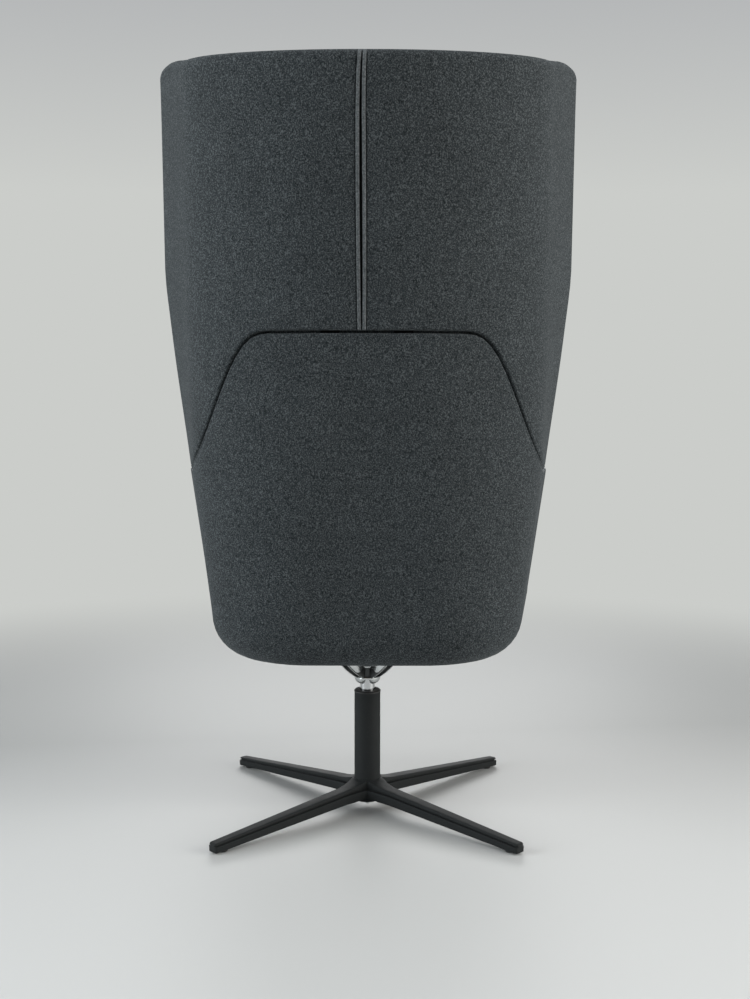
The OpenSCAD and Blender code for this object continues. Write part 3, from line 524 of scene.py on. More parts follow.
def wall_columns(free, corner, base):
    """Columns as (place, share of the wing, distance from the front, depth, lift)."""
    places = [0.0, 0.5] + [1.0 + i / CORNER_STEPS for i in range(CORNER_STEPS + 1)]
    columns = [(place, 0.0, 0.0, base, 0.0) for place in places]
    columns += [(2.0, i / WING_STEPS, 0.0, base, 0.0) for i in range(1, WING_STEPS)]
    rounded = [corner * s for s in (1.0, 0.8, 0.62)]
    columns += [(2.0, 1.0, d, base, 0.0) for d in rounded if d > free[-1][0] + 1.0]
    return columns + [(2.0, 1.0, e, d, 0.0) for e, d in free[::-1]]


def along_wing(column, length, corner):
    place, share, back, _, _ = column
    if place < 2.0:
        return 0.0 * length
    return share * (length - corner) if share < 1.0 else length - back


def corner_drop(column, corner):
    share, back = column[1], column[2]
    if share < 1.0 or back >= corner:
        return 0.0
    return corner - math.sqrt(corner ** 2 - (corner - back) ** 2)


def deeper(depth, column, outward):
    return np.maximum(depth, column[3]) if outward else np.minimum(depth, column[3])


# %% [markdown]
# ## Hood
# The hood stands on the seam and leans back with the chair. Its top edge lies in one plane
# square to the lean, so it drops towards the wings' front. The cover is sewn from two halves
# that meet 7 to 10 mm beside the middle, with a lip on each side of a narrow slit; the slit
# narrows at both ends, where the cloth is pulled round the edges.

# %% Hood columns
# The padding makes the hood a little fuller than its wooden core: higher at the top edge and
# wider at the wings' front, growing from the seam up.
FULL_TOP, FULL_WIDE, FULL_FROM, FULL_TO = 4.0, 4.2, 640.0, 900.0
FULL_WING, HOOD_WING = 6.6, 330.0
HOOD_ROWS, TOP_ROWS, LIP_END, LIP_FADE = 24, 8, 4.0, 5.0
# The linings' soft rims all but meet in the seam's gap, so no daylight shows through it.
LINING_D, LINING_GAP = 22.0, 0.8


def fuller(points, column):
    rise = np.clip((points[:, 2] - FULL_FROM) / (FULL_TO - FULL_FROM), 0.0, 1.0)
    points[:, 0] += FULL_WIDE * min(column[1], 1.0) * rise * rise * (3 - 2 * rise)
    return points


def hood_top_at(column):
    """The top edge: level across the lean, then made fuller behind and along the wing."""
    length = along_wing(column, hood_wing(arr(HOOD_TOP)), HOOD_CORNER)
    flat_y = wall(HOOD_TOP, column[0], length, 0.0)[..., 1]
    rise = math.tan(RECLINE) * (HOOD_BACK - flat_y) * math.cos(RECLINE) ** 2
    along = column[1] * (1.0 - HOOD_CORNER / HOOD_WING)
    if column[1] >= 1.0:
        along = 1.0 - column[2] / HOOD_WING
    full = FULL_TOP * (1.0 - 0.3 * min(max(column[0] - 1.0, 0.0), 1.0)) * (1.0 - along)
    full += FULL_WING * math.sin(math.pi * along ** 1.35)
    return HOOD_TOP + rise + full - corner_drop(column, HOOD_CORNER)


def hood_column(column, top_rim, base, seam_rim, outward, shift=None):
    """One column from the seam to the top edge. shift moves its points sideways."""
    length = along_wing(column, hood_wing(arr(ARM_H)), HOOD_CORNER)
    k = seam_steepness(column[0], length)
    low = seam_z(column[0], length) + (SEAM_GAP if outward else LINING_GAP) / 2 * k
    top = hood_top_at(column)
    start, end = low + seam_rim[-1][0] * k, top - top_rim[-1][0]
    middle = np.linspace(start, end, HOOD_ROWS + 2)[1:-1]
    z = np.concatenate([[low + e * k for e, _ in seam_rim], middle,
                        [top - e for e, _ in top_rim[::-1]]])
    depth = np.concatenate([[d for _, d in seam_rim], np.full(len(middle), base),
                            [d for _, d in top_rim[::-1]]])
    below = np.clip((top - z - LIP_END) / LIP_FADE, 0.0, 1.0)
    depth = deeper(depth, column, outward) + column[4] * below
    points = wall(z, column[0], along_wing(column, hood_wing(z), HOOD_CORNER), depth)
    points = fuller(points, column)
    if shift is not None:
        points[:, 0] += shift(np.clip((z - low) / (top - low), 0.0, 1.0))
    return points


# %% The slit between the two halves
LIP_W, SLIT_END, SLIT_SWELL = 6.2, 0.8, 1.6
# The slit's distance from the middle of the back, from the seam (0) to the top edge (1).
SLIT_PLACE = [(0.0, 8.6), (0.15, 8.9), (0.5, 9.8), (0.79, 10.3), (0.92, 9.3), (1.0, 7.2)]


def slit_half(share):
    """Half width of the slit from the seam (0) to the top edge (1), in mm."""
    return SLIT_END + SLIT_SWELL * np.sin(math.pi * np.clip(share, 0.0, 1.0)) ** 0.6


def slit_middle(share):
    return np.interp(share, *zip(*SLIT_PLACE))


# Rows: distance from the slit's middle, as a share of its half width up to 1 and of the lip's
# width beyond it; depth; finish up to the next row (0 felt, 1 a paler felt on the lips, a
# painted highlight, 2 near-black felt in the slit and the groove beside each lip, painted
# shade).
LIP_PROFILE = [(0.0, 4.9, 2), (0.5, 4.7, 2), (0.85, 2.4, 2), (1.0, 0.4, 1), (1.06, -0.9, 1),
               (1.25, -1.7, 1), (1.6, -1.8, 1), (1.86, -1.2, 1), (1.97, 0.4, 2),
               (2.05, 1.3, 2), (2.14, 1.0, 0), (2.3, 0.3, 0), (2.5, 0.0, 0)]


def hood_half(side, free, base, seam_rim, fold):
    """One half of the hood's cover. Columns start at the slit, which isn't in the middle."""
    made = []
    for share, lift, _ in LIP_PROFILE:
        def shift(s, share=share):
            open_part = slit_half(s) * min(share, 1.0)
            return slit_middle(s) + side * (open_part + LIP_W * max(share - 1.0, 0.0))
        made.append(hood_column((0.0, 0.0, 0.0, base, lift * fold), free, base, seam_rim, True,
                                shift))
    wide = [c for c in wall_columns(free, HOOD_CORNER, base) if c[0] > 1.01]
    rest = half_grid(hood_column, wide, free, base, seam_rim, True) * arr([side, 1.0, 1.0])
    return np.concatenate([made, rest])


def hood_cover(name, side, node, material):
    outer = hood_half(side, FREE_OUT, 0.0, SEAM_OUT, 1.0)
    inner = hood_half(side, FREE_IN, COVER, SEAM_IN, 0.25)
    rows = outer.shape[1]
    # Painted light: the lips get a paler felt as a painted highlight; the slit and the grooves
    # beside the lips get near-black felt as painted shade, except in the top rows.
    finish = [look * (look == 1 or j <= rows - TOP_ROWS) for _, _, look in LIP_PROFILE
              for j in range(rows - 1)]
    cover = skin_object(name, outer, inner, "seat", material, (felt_lip_painted_highlight, felt_fold_painted_shade), finish)
    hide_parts(node)


# %% [markdown]
# ## Felt
# The cloth is wool felt in a blue-grey melange: dark and pale fibres are mixed before
# spinning, so the surface is a fine, uneven speckle and not one colour. Seen close it has
# short loose fibres, which scatter light at the edge of a form. A picture of cloth would
# repeat and need a flat layout, so the speckle is built from noise in the object's own
# coordinates. Outside cover, lining and cushions share the effect, so it is a node group.

# %% Helpers for groups and grouped materials
GROUP_OUTPUTS = {"Color": "NodeSocketColor", "Roughness": "NodeSocketFloat",
                 "Height": "NodeSocketFloat"}


def make_group(name, inputs, build):
    """A node group. build gets its inputs and returns its colour, roughness and height."""
    group = bpy.data.node_groups.new(name, "ShaderNodeTree")
    for label, value in inputs.items():
        kind = "NodeSocketColor" if isinstance(value, tuple) else "NodeSocketFloat"
        socket = group.interface.new_socket(name=label, in_out="INPUT", socket_type=kind)
        socket.default_value = (*value, 1.0) if isinstance(value, tuple) else value
    for label, kind in GROUP_OUTPUTS.items():
        group.interface.new_socket(name=label, in_out="OUTPUT", socket_type=kind)
    results = build(group, group.nodes.new("NodeGroupInput").outputs)
    add(group, "NodeGroupOutput", zip(GROUP_OUTPUTS, results))
    print("group", name, "has", len(group.nodes), "nodes")
    return group


def stretched(tree, stretch, size):
    """The object's own coordinates, stretched by three factors and then scaled."""
    coords = add(tree, "ShaderNodeTexCoord").outputs["Object"]
    pulled = add(tree, "ShaderNodeVectorMath", {0: coords, 1: stretch}, operation="MULTIPLY")
    sized = add(tree, "ShaderNodeVectorMath", {0: pulled.outputs["Vector"], "Scale": size},
                operation="SCALE")
    return sized.outputs["Vector"]


def noise(tree, vector, scale, detail, roughness):
    return add(tree, "ShaderNodeTexNoise", {"Vector": vector, "Scale": scale, "Detail": detail,
                                            "Roughness": roughness}).outputs["Fac"]


def mix_colour(tree, factor, a, b, blend="MIX"):
    return add(tree, "ShaderNodeMix", {0: factor, 6: a, 7: b}, data_type="RGBA",
               blend_type=blend).outputs[2]


def end_material(tree, colour, rough, height, bump, distance, shader=()):
    """Presses the height into a Principled surface. shader gives its other inputs."""
    relief = add(tree, "ShaderNodeBump",
                 {"Strength": bump, "Distance": distance, "Height": height})
    inputs = {"Base Color": colour, "Roughness": rough, "Normal": relief.outputs["Normal"]}
    surface = add(tree, "ShaderNodeBsdfPrincipled", {**inputs, **dict(shader)})
    add(tree, "ShaderNodeOutputMaterial", {"Surface": surface.outputs["BSDF"]})


def grouped_material(name, group, values, bump, distance, shader):
    material, tree = new_material(name)
    made = add(tree, "ShaderNodeGroup", node_tree=group)
    for label, value in values.items():
        give(tree, made.inputs[label], value)
    results = [made.outputs[label] for label in GROUP_OUTPUTS]
    end_material(tree, *results, bump, distance, shader)
    return material


# %% The felt group
def felt_fibres(group, given):
    def fibres(share, stretch, detail, roughness):
        size = math_node(group, "MULTIPLY", given["Speckle Size"], share)
        return noise(group, stretched(group, stretch, size), 1.0, detail, roughness)

    def dyed(below, mask, strength, colour):
        return mix_colour(group, math_node(group, "MULTIPLY", mask, strength), below,
                          given[colour])

    coarse = fibres(0.42, (1.0, 0.4, 1.0), 3.0, 0.65)
    fine = fibres(1.0, (1.0, 0.3, 0.85), 2.0, 0.6)
    threads = fibres(1.3, (1.9, 0.45, 0.6), 2.0, 0.55)
    cloud = fibres(0.02, (1.0, 1.0, 1.0), 2.0, 0.5)
    hair = ramp(group, threads, [(0.56, 0.0), (0.66, 1.0)])
    tone = dyed(given["Middle"], ramp(group, coarse, [(0.38, 1.0), (0.53, 0.0)]), 0.7, "Dark")
    tone = dyed(tone, ramp(group, fine, [(0.5, 0.0), (0.63, 1.0)]), 0.6, "Pale")
    tone = dyed(tone, hair, 0.35, "Pale")
    wide = math_node(group, "MULTIPLY_ADD", cloud, 0.3, 0.85)
    height = math_node(group, "MULTIPLY_ADD", fine, 0.6,
                       math_node(group, "MULTIPLY", threads, 0.4))
    return (mix_colour(group, 1.0, tone, wide, "MULTIPLY"),
            math_node(group, "MULTIPLY_ADD", hair, 0.08, 0.88), height)


FELT = make_group("felt_fibres", {"Dark": (0.02, 0.025, 0.028), "Middle": (0.045, 0.053, 0.06),
                                  "Pale": (0.12, 0.135, 0.145), "Speckle Size": 500.0},
                  felt_fibres)

# %% Felt materials
FELT_SHADER = {"Specular IOR Level": 0.12, "Sheen Weight": 0.08, "Sheen Roughness": 0.45,
               "Sheen Tint": (0.75, 0.82, 0.86)}


def felt_material(name, dark, middle, pale, size=500.0):
    values = {"Dark": dark, "Middle": middle, "Pale": pale, "Speckle Size": size}
    return grouped_material(name, FELT, values, 0.35, 0.0012, FELT_SHADER)


felt_outside = felt_material("felt_outside", (0.003, 0.005, 0.006), (0.023, 0.028, 0.031),
                             (0.127, 0.139, 0.146))
felt_inside = felt_material("felt_inside", (0.004, 0.006, 0.007), (0.025, 0.030, 0.033),
                            (0.131, 0.144, 0.151))
felt_seat = felt_material("felt_seat", (0.004, 0.006, 0.007), (0.024, 0.029, 0.032),
                          (0.129, 0.141, 0.148))
# Paler felt for the slit's lips: a painted highlight where the lips catch the light.
felt_lip_painted_highlight = felt_material("felt_lip_painted_highlight", (0.040, 0.046, 0.049), (0.084, 0.093, 0.098),
                         (0.185, 0.197, 0.205), 420.0)
# Near-black felt for the slit and the grooves beside the lips: painted shade.
felt_fold_painted_shade = felt_material("felt_fold_painted_shade", (0.0008, 0.0009, 0.001), (0.0012, 0.0014, 0.0015),
                          (0.002, 0.002, 0.002), 600.0)
print("felt materials", 5)

# %% Make the hood's cover
hood_cover("hood_cover_left_felt", -1, "hood_cover_left", felt_outside)
hood_cover("hood_cover_right_felt", 1, "hood_cover_right", felt_outside)

# %% [markdown]
# ## Linings
# The sitter's side of each wall is thick foam under the same felt. It is closed against the
# cover at every edge by a hidden seam. Its face is the wall's function at full depth, with
# rounded edges.

# %% Lining profiles and the hood's lining
LINING_RIM = inside(quarter(0.0, WALL - LINING_MID, RIM))
HIDDEN = [(e, LINING_MID) for e in np.linspace(3.0, RIM, len(LINING_RIM))]
HIDDEN[-1] = (RIM + 0.8, LINING_D)


def hood_lining(name, material):
    outer, inner = (mirrored(half_grid(hood_column, wall_columns(rim, HOOD_CORNER, base), rim,
                                       base, rim, False))
                    for rim, base in ((LINING_RIM, WALL), (HIDDEN, LINING_D)))
    lining = skin_object(name, outer, inner, "seat", material)
    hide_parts("hood_lining")


hood_lining("hood_lining_felt", felt_inside)

# %% [markdown]
# ## Lower shell
# The bucket's cover runs under the seat round a wide bend and ends on the floor flange. Its
# top edge is the other side of the seam. The columns are the hood's with a longer wing, so
# both edges of the gap stay parallel.

# %% Lower shell columns
TURN_STEPS, SHELL_ROWS, BEND_SAG, HOOD_FADE = 9, 20, 1.8, 12.0
# Foam and cloth of the lining in the bend: angle below level, depth of the back, of the face.
# The foam stops beside the cushion's lower edge, and the cloth runs on to the seat board.
LINING_BEND = [(82, 16.2, 19.6), (72, 16.2, 19.6), (63, 16.2, 20.2), (57, 16.4, 24.0),
               (51, 17.0, 31.0), (45, 18.5, 36.5), (38, 20.5, 40.0), (30, 22.0, 42.0),
               (15, 22.0, 42.0), (0, 22.0, 42.0)]
LINING_TURN, BEND_BACK, BEND_FACE = arr(LINING_BEND).T


def bend_points(column, depth, angles):
    """Points round the bend, up to where the wall starts."""
    length = along_wing(column, arm_wing(arr(TURN_H)), ARM_CORNER)
    points = wall(TURN_H, column[0], length, TURN_R - (TURN_R - depth) * np.cos(angles))
    points[:, 2] = TURN_H - (TURN_R - depth) * np.sin(angles)
    return points


def cover_bend(column, depth):
    """The cover's bend starts at the flange's inner edge and sags a little."""
    length = along_wing(column, arm_wing(arr(TURN_H)), ARM_CORNER)
    flange = wall(TURN_H, column[0], length, TURN_R + FLANGE * arr([1.0, 0.5]))
    flange[:, 2] = FLOOR_H + depth
    round_part = bend_points(column, depth, np.linspace(math.pi / 2, 0.0, TURN_STEPS + 1))
    bend = np.concatenate([flange, round_part])
    bend[:, 2] -= BEND_SAG * np.clip((TURN_H - bend[:, 2]) / TURN_R, 0.0, 1.0)
    return bend


def lining_bend(column, base):
    face = base > LINING_D
    depth, limit = (BEND_FACE, column[3]) if face else (BEND_BACK, WALL)
    depth = np.minimum(depth, np.maximum(limit, depth[0]))
    return bend_points(column, depth, np.radians(LINING_TURN))


def shell_column(column, top_rim, base, outward):
    """One column from the seat board to the seam: outward for the cover, else the lining."""
    length = along_wing(column, arm_wing(arr(ARM_H)), ARM_CORNER)
    k = seam_steepness(column[0], length)
    under_hood = np.clip((hood_wing(arr(ARM_H)) - length) / HOOD_FADE, 0.0, 1.0)
    gap = SEAM_GAP if outward else SEAM_GAP - (SEAM_GAP - LINING_GAP) * under_hood
    top = seam_z(column[0], length) - gap / 2 * k - corner_drop(column, ARM_CORNER)
    middle = np.linspace(TURN_H, top - top_rim[-1][0] * k, SHELL_ROWS + 2)[1:-1]
    z = np.concatenate([middle, [top - e * k for e, _ in top_rim[::-1]]])
    depth = np.concatenate([np.full(len(middle), base), [d for _, d in top_rim[::-1]]])
    upright = wall(z, column[0], along_wing(column, arm_wing(z), ARM_CORNER),
                   deeper(depth, column, outward))
    bend = (cover_bend(column, float(deeper(base, column, True))) if outward
            else lining_bend(column, base))
    return np.concatenate([bend, upright])


def shell_skin(name, material, outward, sides):
    """sides: free edge, edge along the seam and depth of the two faces of the skin."""
    outer, inner = (mirrored(half_grid(shell_column, wall_columns(free, ARM_CORNER, base), rim,
                                       base, outward)) for free, rim, base in sides)
    return skin_object(name, outer, inner, "seat", material)


# %% Make the lower cover and its lining
lower_cover = shell_skin("lower_cover_felt", felt_outside, True,
                         ((FREE_OUT, SEAM_OUT, 0.0), (FREE_IN, SEAM_IN, COVER)))
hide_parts("lower_cover")

lower_lining = shell_skin("lower_lining_felt", felt_inside, False,
                          ((LINING_RIM, LINING_RIM, WALL), (HIDDEN, HIDDEN, LINING_D)))
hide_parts("lower_lining")

# %% [markdown]
# ## Front rail
# A short upholstered rail closes the bucket's floor in front, below the seat cushion. It is
# a round-nosed bar, so a profile pulled sideways gives it. Between the flanges it is as tall
# as the floor; its ends run on over the flanges as far as the lining.

# %% Make the front rail
RAIL_NOSE, RAIL_PAD, RAIL_FIT, FLANGE_TOP = 9.6, 4.0, 0.2, 325.2
RAIL_STEP, RAIL_TUCK = 2.0, 4.0


def front_rail(name, material):
    (x0, y0, z0), (x1, y1, z1) = (arr(c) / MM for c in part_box("front_rail"))
    ply_y, y0 = y0 - 2 * RAIL_FIT, y0 - RAIL_PAD
    last_column = (2.0, 1.0, RIM, WALL, 0.0)
    foot = bend_points(last_column, BEND_FACE, np.radians(LINING_TURN))[0]
    half, reach = (x1 - x0) / 2, abs(foot[0]) + RAIL_TUCK
    nose = [(RAIL_NOSE * (1 - math.cos(a)), RAIL_NOSE * (1 - math.sin(a)))
            for a in np.linspace(0.0, math.pi / 2, 8)]

    def profile(low, step, inset):
        under = [(ply_y, low), (ply_y, step), (y1, step), (y1, z1)]
        upper = [(y0 + y, z1 - z) for y, z in nose[::-1]]
        lower = [(min(y0 + y, ply_y - RAIL_FIT), low + z) for y, z in nose]
        centre = arr([(y0 + y1) / 2, (z0 + z1) / 2])
        return centre + (arr(under + upper + lower) - centre) * (1 - inset)

    ends = [(reach, 0.2), (reach - 0.6, 0.1), (reach - 3.0, 0.0),
            (half + RAIL_STEP + 0.2, 0.0)]
    outer = [(x, profile(FLANGE_TOP - 9.0, FLANGE_TOP, inset)) for x, inset in ends]
    across = half + RAIL_STEP - 0.2
    inner = [(x, profile(z0, z0 + RAIL_FIT, 0.0)) for x in np.linspace(across, -across, 23)]
    other = [(-x, ring) for x, ring in outer[::-1]]
    rings = [np.column_stack([np.full(len(ring), x), ring])
             for x, ring in outer + inner + other]
    rail = mesh_object(name, *closed_rings(rings), "seat", material, sharp=50)
    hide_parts("front_rail")


front_rail("front_rail_felt", felt_inside)

# %% [markdown]
# ## Cushions
# A cushion is foam in a sewn cover: the middle is full, the sides pull in between the corners
# and the panels meet in a seam. Sculpting such fullness by hand looks stiff, so each cushion
# starts a little too small and is blown up by a short cloth simulation. The side that lies
# on the board or the lining is pinned, so it stays where it rests. The seams are pressed in
# afterwards, because an even mesh is needed for the simulation and would swallow them.

# %% Blow a cushion up
PRESSURE, SWELL_FRAMES, VOXEL = 4.0, 20, 0.006


def apply_modifier(made, modifier):
    bpy.context.view_layer.objects.active = made
    with bpy.context.temp_override(object=made, active_object=made, selected_objects=[made]):
        bpy.ops.object.modifier_apply(modifier=modifier.name)


def mesh_points(mesh):
    flat = np.empty(len(mesh.vertices) * 3)
    mesh.vertices.foreach_get("co", flat)
    return flat.reshape(-1, 3)


def swell(made, most, held):
    """Lets air pressure push the skin out. held says which points stay, most caps the rest."""
    before = mesh_points(made.data)
    pins = made.vertex_groups.new(name="pins")
    pins.add([int(i) for i in np.nonzero(held(before))[0]], 1.0, "REPLACE")
    cloth = made.modifiers.new("swell", "CLOTH")
    settings = cloth.settings
    settings.vertex_group_mass = "pins"
    settings.use_pressure = True
    settings.uniform_pressure_force = PRESSURE
    settings.effector_weights.gravity = 0.0
    cloth.point_cache.frame_end = SWELL_FRAMES
    for step in range(1, SWELL_FRAMES + 1):
        bpy.context.scene.frame_set(step)
    graph = bpy.context.evaluated_depsgraph_get()
    move = mesh_points(made.evaluated_get(graph).data) - before
    size = np.linalg.norm(move, axis=1, keepdims=True)
    move *= np.minimum(1.0, most / np.maximum(size, 1e-9))
    made.modifiers.remove(cloth)
    made.vertex_groups.remove(pins)
    made.data.vertices.foreach_set("co", (before + move).ravel())
    bpy.context.scene.frame_set(1)
    print(made.name, "swelled by up to", round(float(size.max()) * 1000, 1), "mm")


def plump(made, most, held):
    """Gives a piece an even mesh, swells it and smooths it."""
    remesh = made.modifiers.new("even", "REMESH")
    remesh.mode = "VOXEL"
    remesh.voxel_size = VOXEL
    apply_modifier(made, remesh)
    if FULL:
        swell(made, most, held)
    soften = made.modifiers.new("soften", "SMOOTH")
    soften.factor = 0.5
    soften.iterations = 4
    apply_modifier(made, soften)
    finer = made.modifiers.new("finer", "SUBSURF")
    finer.levels = finer.render_levels = 1
    if FULL:
        apply_modifier(made, finer)
    for polygon in made.data.polygons:
        polygon.use_smooth = True
    print(made.name, len(made.data.polygons), "faces")


def move_points(made, change):
    points = mesh_points(made.data) / MM
    made.data.vertices.foreach_set("co", (change(points) * MM).ravel())
    made.data.update()


# %% Seat cushion
SEAT_LOW, SEAT_EDGE = 343.2, 427.2
CUSHION_CLEAR, CUSHION_PULL, CUSHION_SOFT, CUSHION_PROUD = 6.0, 6.0, 9.0, 14.0
CUSHION_SMALL, CUSHION_NOSE, CUSHION_HELD = 1.5, 15.0, 12.0
# The side as pairs of height share and distance in; the top as share of the way in and height.
SEAT_SIDE = [(0.0, 9.0), (0.03, 4.5), (0.12, 1.0), (0.3, 0.0), (0.55, 0.0), (0.78, 1.0),
             (0.92, 3.5), (0.985, 8.0)]
SEAT_CROWN = [(0.08, -1.5), (0.2, 1.5), (0.4, 4.5), (0.62, 6.5), (0.85, 7.5)]
# The two seams: height and depth of the groove. It is narrow, and fades towards the middle.
SEAT_SEAMS = [(SEAT_EDGE - 9.0, 2.2), (SEAT_LOW + 12.0, 1.8)]
GROOVE_HALF, GROOVE_FADE = 2.6, 22.0


def cushion_outline(inset):
    """The cushion's plan, clear of the lining all round and a little proud in front."""
    reach = arm_wing(arr(TURN_H)) + CUSHION_PROUD - CUSHION_SOFT
    deep = WALL + CUSHION_CLEAR + inset
    places = [0.25, 0.5, 0.75, 1.0, *(1 + np.linspace(0.06, 1.0, 16))]
    half = [wall(TURN_H, place, 0.0, deep) for place in places]
    for t in np.linspace(0.05, 1.0, 22):
        pull = CUSHION_PULL * math.sin(math.pi * t) + 7.0 * max(0.0, (t - 0.93) / 0.07) ** 2
        half.append(wall(TURN_H, 2.0, t * (reach - inset), deep + pull))
    half = np.array(half)
    left = half[::-1] * arr([-1.0, 1.0, 1.0])
    middle = wall(TURN_H, 0.0, 0.0, deep)[None]
    tip = half[-1]
    front = [(tip[0] * t, tip[1] - CUSHION_NOSE * (1 - abs(t) ** 2.6), TURN_H)
             for t in np.linspace(1.0, -1.0, 29)[1:-1]]
    return np.concatenate([left, middle, half, arr(front)])[:, :2]


def seat_cushion(name, material):
    rings = []
    for t, inset in SEAT_SIDE:
        plan = cushion_outline(inset + CUSHION_SMALL)
        level = SEAT_LOW + (SEAT_EDGE - SEAT_LOW) * t
        rings.append(np.column_stack([plan, np.full(len(plan), level)]))
    shoulder = rings[-1]
    centre = shoulder[:, :2].mean(0)
    for t, rise in SEAT_CROWN:
        ring = shoulder.copy()
        ring[:, :2] += (centre - ring[:, :2]) * t
        ring[:, 2] = SEAT_EDGE + rise
        rings.append(ring)
    cushion = mesh_object(name, *closed_rings(rings), "seat", material)
    plump(cushion, 0.006, lambda p: p[:, 2] < (SEAT_LOW + CUSHION_HELD) * MM)
    outline = cushion_outline(0.0)

    def seams(points):
        flat = np.linalg.norm(points[:, None, :2] - outline[None], axis=2).min(1)
        edge = np.exp(-(flat / GROOVE_FADE) ** 2)
        for level, deep in SEAT_SEAMS:
            press = np.exp(-((points[:, 2] - level) / GROOVE_HALF) ** 2) * edge * deep
            inward = outline.mean(0) - points[:, :2]
            inward /= np.maximum(np.linalg.norm(inward, axis=1, keepdims=True), 1.0)
            points[:, :2] += inward * press[:, None]
        points[:, 2] = np.maximum(points[:, 2], SEAT_LOW)
        return points

    move_points(cushion, seams)
    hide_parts("seat_cushion")


seat_cushion("seat_cushion_felt", felt_seat)

# %% [markdown]
# ## Back cushion
# The pad leans on the lining, so it follows the same wall. It is thickest at the loins and
# thin at the top. One cross seam divides it, which keeps the filling from sinking.

# %% Back cushion
BACK_LOW, BACK_TOP, BACK_FIT, BACK_REACH = 443.2, 1150.0, 1.6, 1.58
LOINS, LOIN_T, TOP_T, FOOT_T = 0.25, 58.0, 34.0, 50.0
RIM_SOFT, FLANK_SOFT, BACK_HELD, CROSS_SEAM = 0.05, 0.22, 9.0, 0.56
# Half width and depth of the cross seam's groove, and of the hollow round it.
CROSS_PULLS = ((4.0, 5.0), (26.0, 4.0))


def pad_thickness(share):
    return np.where(share < LOINS, FOOT_T + (LOIN_T - FOOT_T) * share / LOINS,
                    LOIN_T + (TOP_T - LOIN_T) * (share - LOINS) / (1 - LOINS))


def rounding(distance, soft):
    return np.sqrt(np.maximum(0.0, 1 - (1 - np.clip(distance / soft, 0.0, 1.0)) ** 2))


def resting(points):
    """Points (in metres) on the lining's side: those whose depth below the wall is small."""
    x, y, z = points.T / MM
    ideal, radius = back_y(z), corner_radius(z)
    off = np.maximum(np.abs(x) - section(z)[0], 0.0)
    depth = radius - np.sqrt(off ** 2 + (y - ideal + radius) ** 2)
    return np.where(off > 0, depth, ideal - y) < WALL + BACK_HELD


def cross_seam(points):
    """A narrow groove in a wide hollow, on the sitter's side only."""
    off = points[:, 2] - (BACK_LOW + CROSS_SEAM * (BACK_TOP - BACK_LOW))
    press = sum(np.exp(-(off / half) ** 2) * deep for half, deep in CROSS_PULLS)
    press[resting(points * MM)] = 0.0
    points[:, 1] += press
    return points


def back_cushion(name, material):
    heights = np.array([0.0, 0.006, 0.02, 0.045, *np.linspace(0.09, 0.91, 22),
                        0.955, 0.98, 0.994, 1.0])
    places = np.array([*np.linspace(0.0, 1.0, 4), *np.linspace(1.06, 1.46, 9),
                       1.5, 1.53, 1.555, 1.572, BACK_REACH])
    z = BACK_LOW + (BACK_TOP - BACK_LOW) * heights
    rim = rounding(np.minimum(heights, 1 - heights), RIM_SOFT)
    near, far = [], []
    for place in places:
        flank = rounding(BACK_REACH - place, FLANK_SOFT) * (1 - 0.35 * (place / 2) ** 2)
        full = pad_thickness(heights) * (0.1 + 0.82 * rim * flank)
        near.append(wall(z, place, 0.0, WALL + BACK_FIT))
        far.append(wall(z, place, 0.0, WALL + BACK_FIT + full))
    far, near = mirrored(np.array(far)), mirrored(np.array(near))
    pad = skin_object(name, far, near, "seat", material)
    plump(pad, 0.012, resting)
    move_points(pad, cross_seam)
    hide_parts("back_cushion")


back_cushion("back_cushion_felt", felt_inside)

# %% [markdown]
# ## Star base
# The base is one casting: four legs with a flat-topped rib above a groove and a wider blade,
# running up into a collar round the tube. Joining four bars with a boolean leaves hard
# corners where a casting has fillets. Here every cross-section is taken on a cylinder round
# the column. The rib's and the blade's widths grow towards the hub until neighbouring legs
# meet at 45 degrees, so the V between two legs and the fillet come from the same table.

# %% The base's sizes along a leg
BASE_R, TUBE_R, BORE_EDGE, COLLAR_R, HUB_V, LEG_ROOT = 380.0, 25.1, 26.8, 28.5, 36.0, 49.4
COLLAR_TOP, LEG_TOP, HUB_LOW, TIP_LOW, TIP_H = 56.0, 48.0, 24.0, 4.0, 16.0
BLADE_ROOT, BLADE_TIP, RIB_ROOT, RIB_TIP = 17.5, 11.5, 13.5, 9.5
BLADE_FILLET, RIB_FILLET, LEG_END = 88.0, 66.0, 4.0
LEDGE, UNDER_PAD, GROOVE = 0.65, 3.0, 2.6
NEIGHBOUR = math.sin(math.radians(45.0))
STATIONS = [TUBE_R, BORE_EDGE, COLLAR_R, 29.2, 30.2, 31.4, 33.0, 34.6, HUB_V, 38.0, 40.5, 43.5,
            47.0, 51.0, 56.0, 62.0, 69.0, 77.0, 88.0, 110.0, 150.0, 190.0, 230.0, 270.0, 310.0,
            340.0, 360.0, 370.0, 376.0, 377.5, 378.7, 379.5, BASE_R]


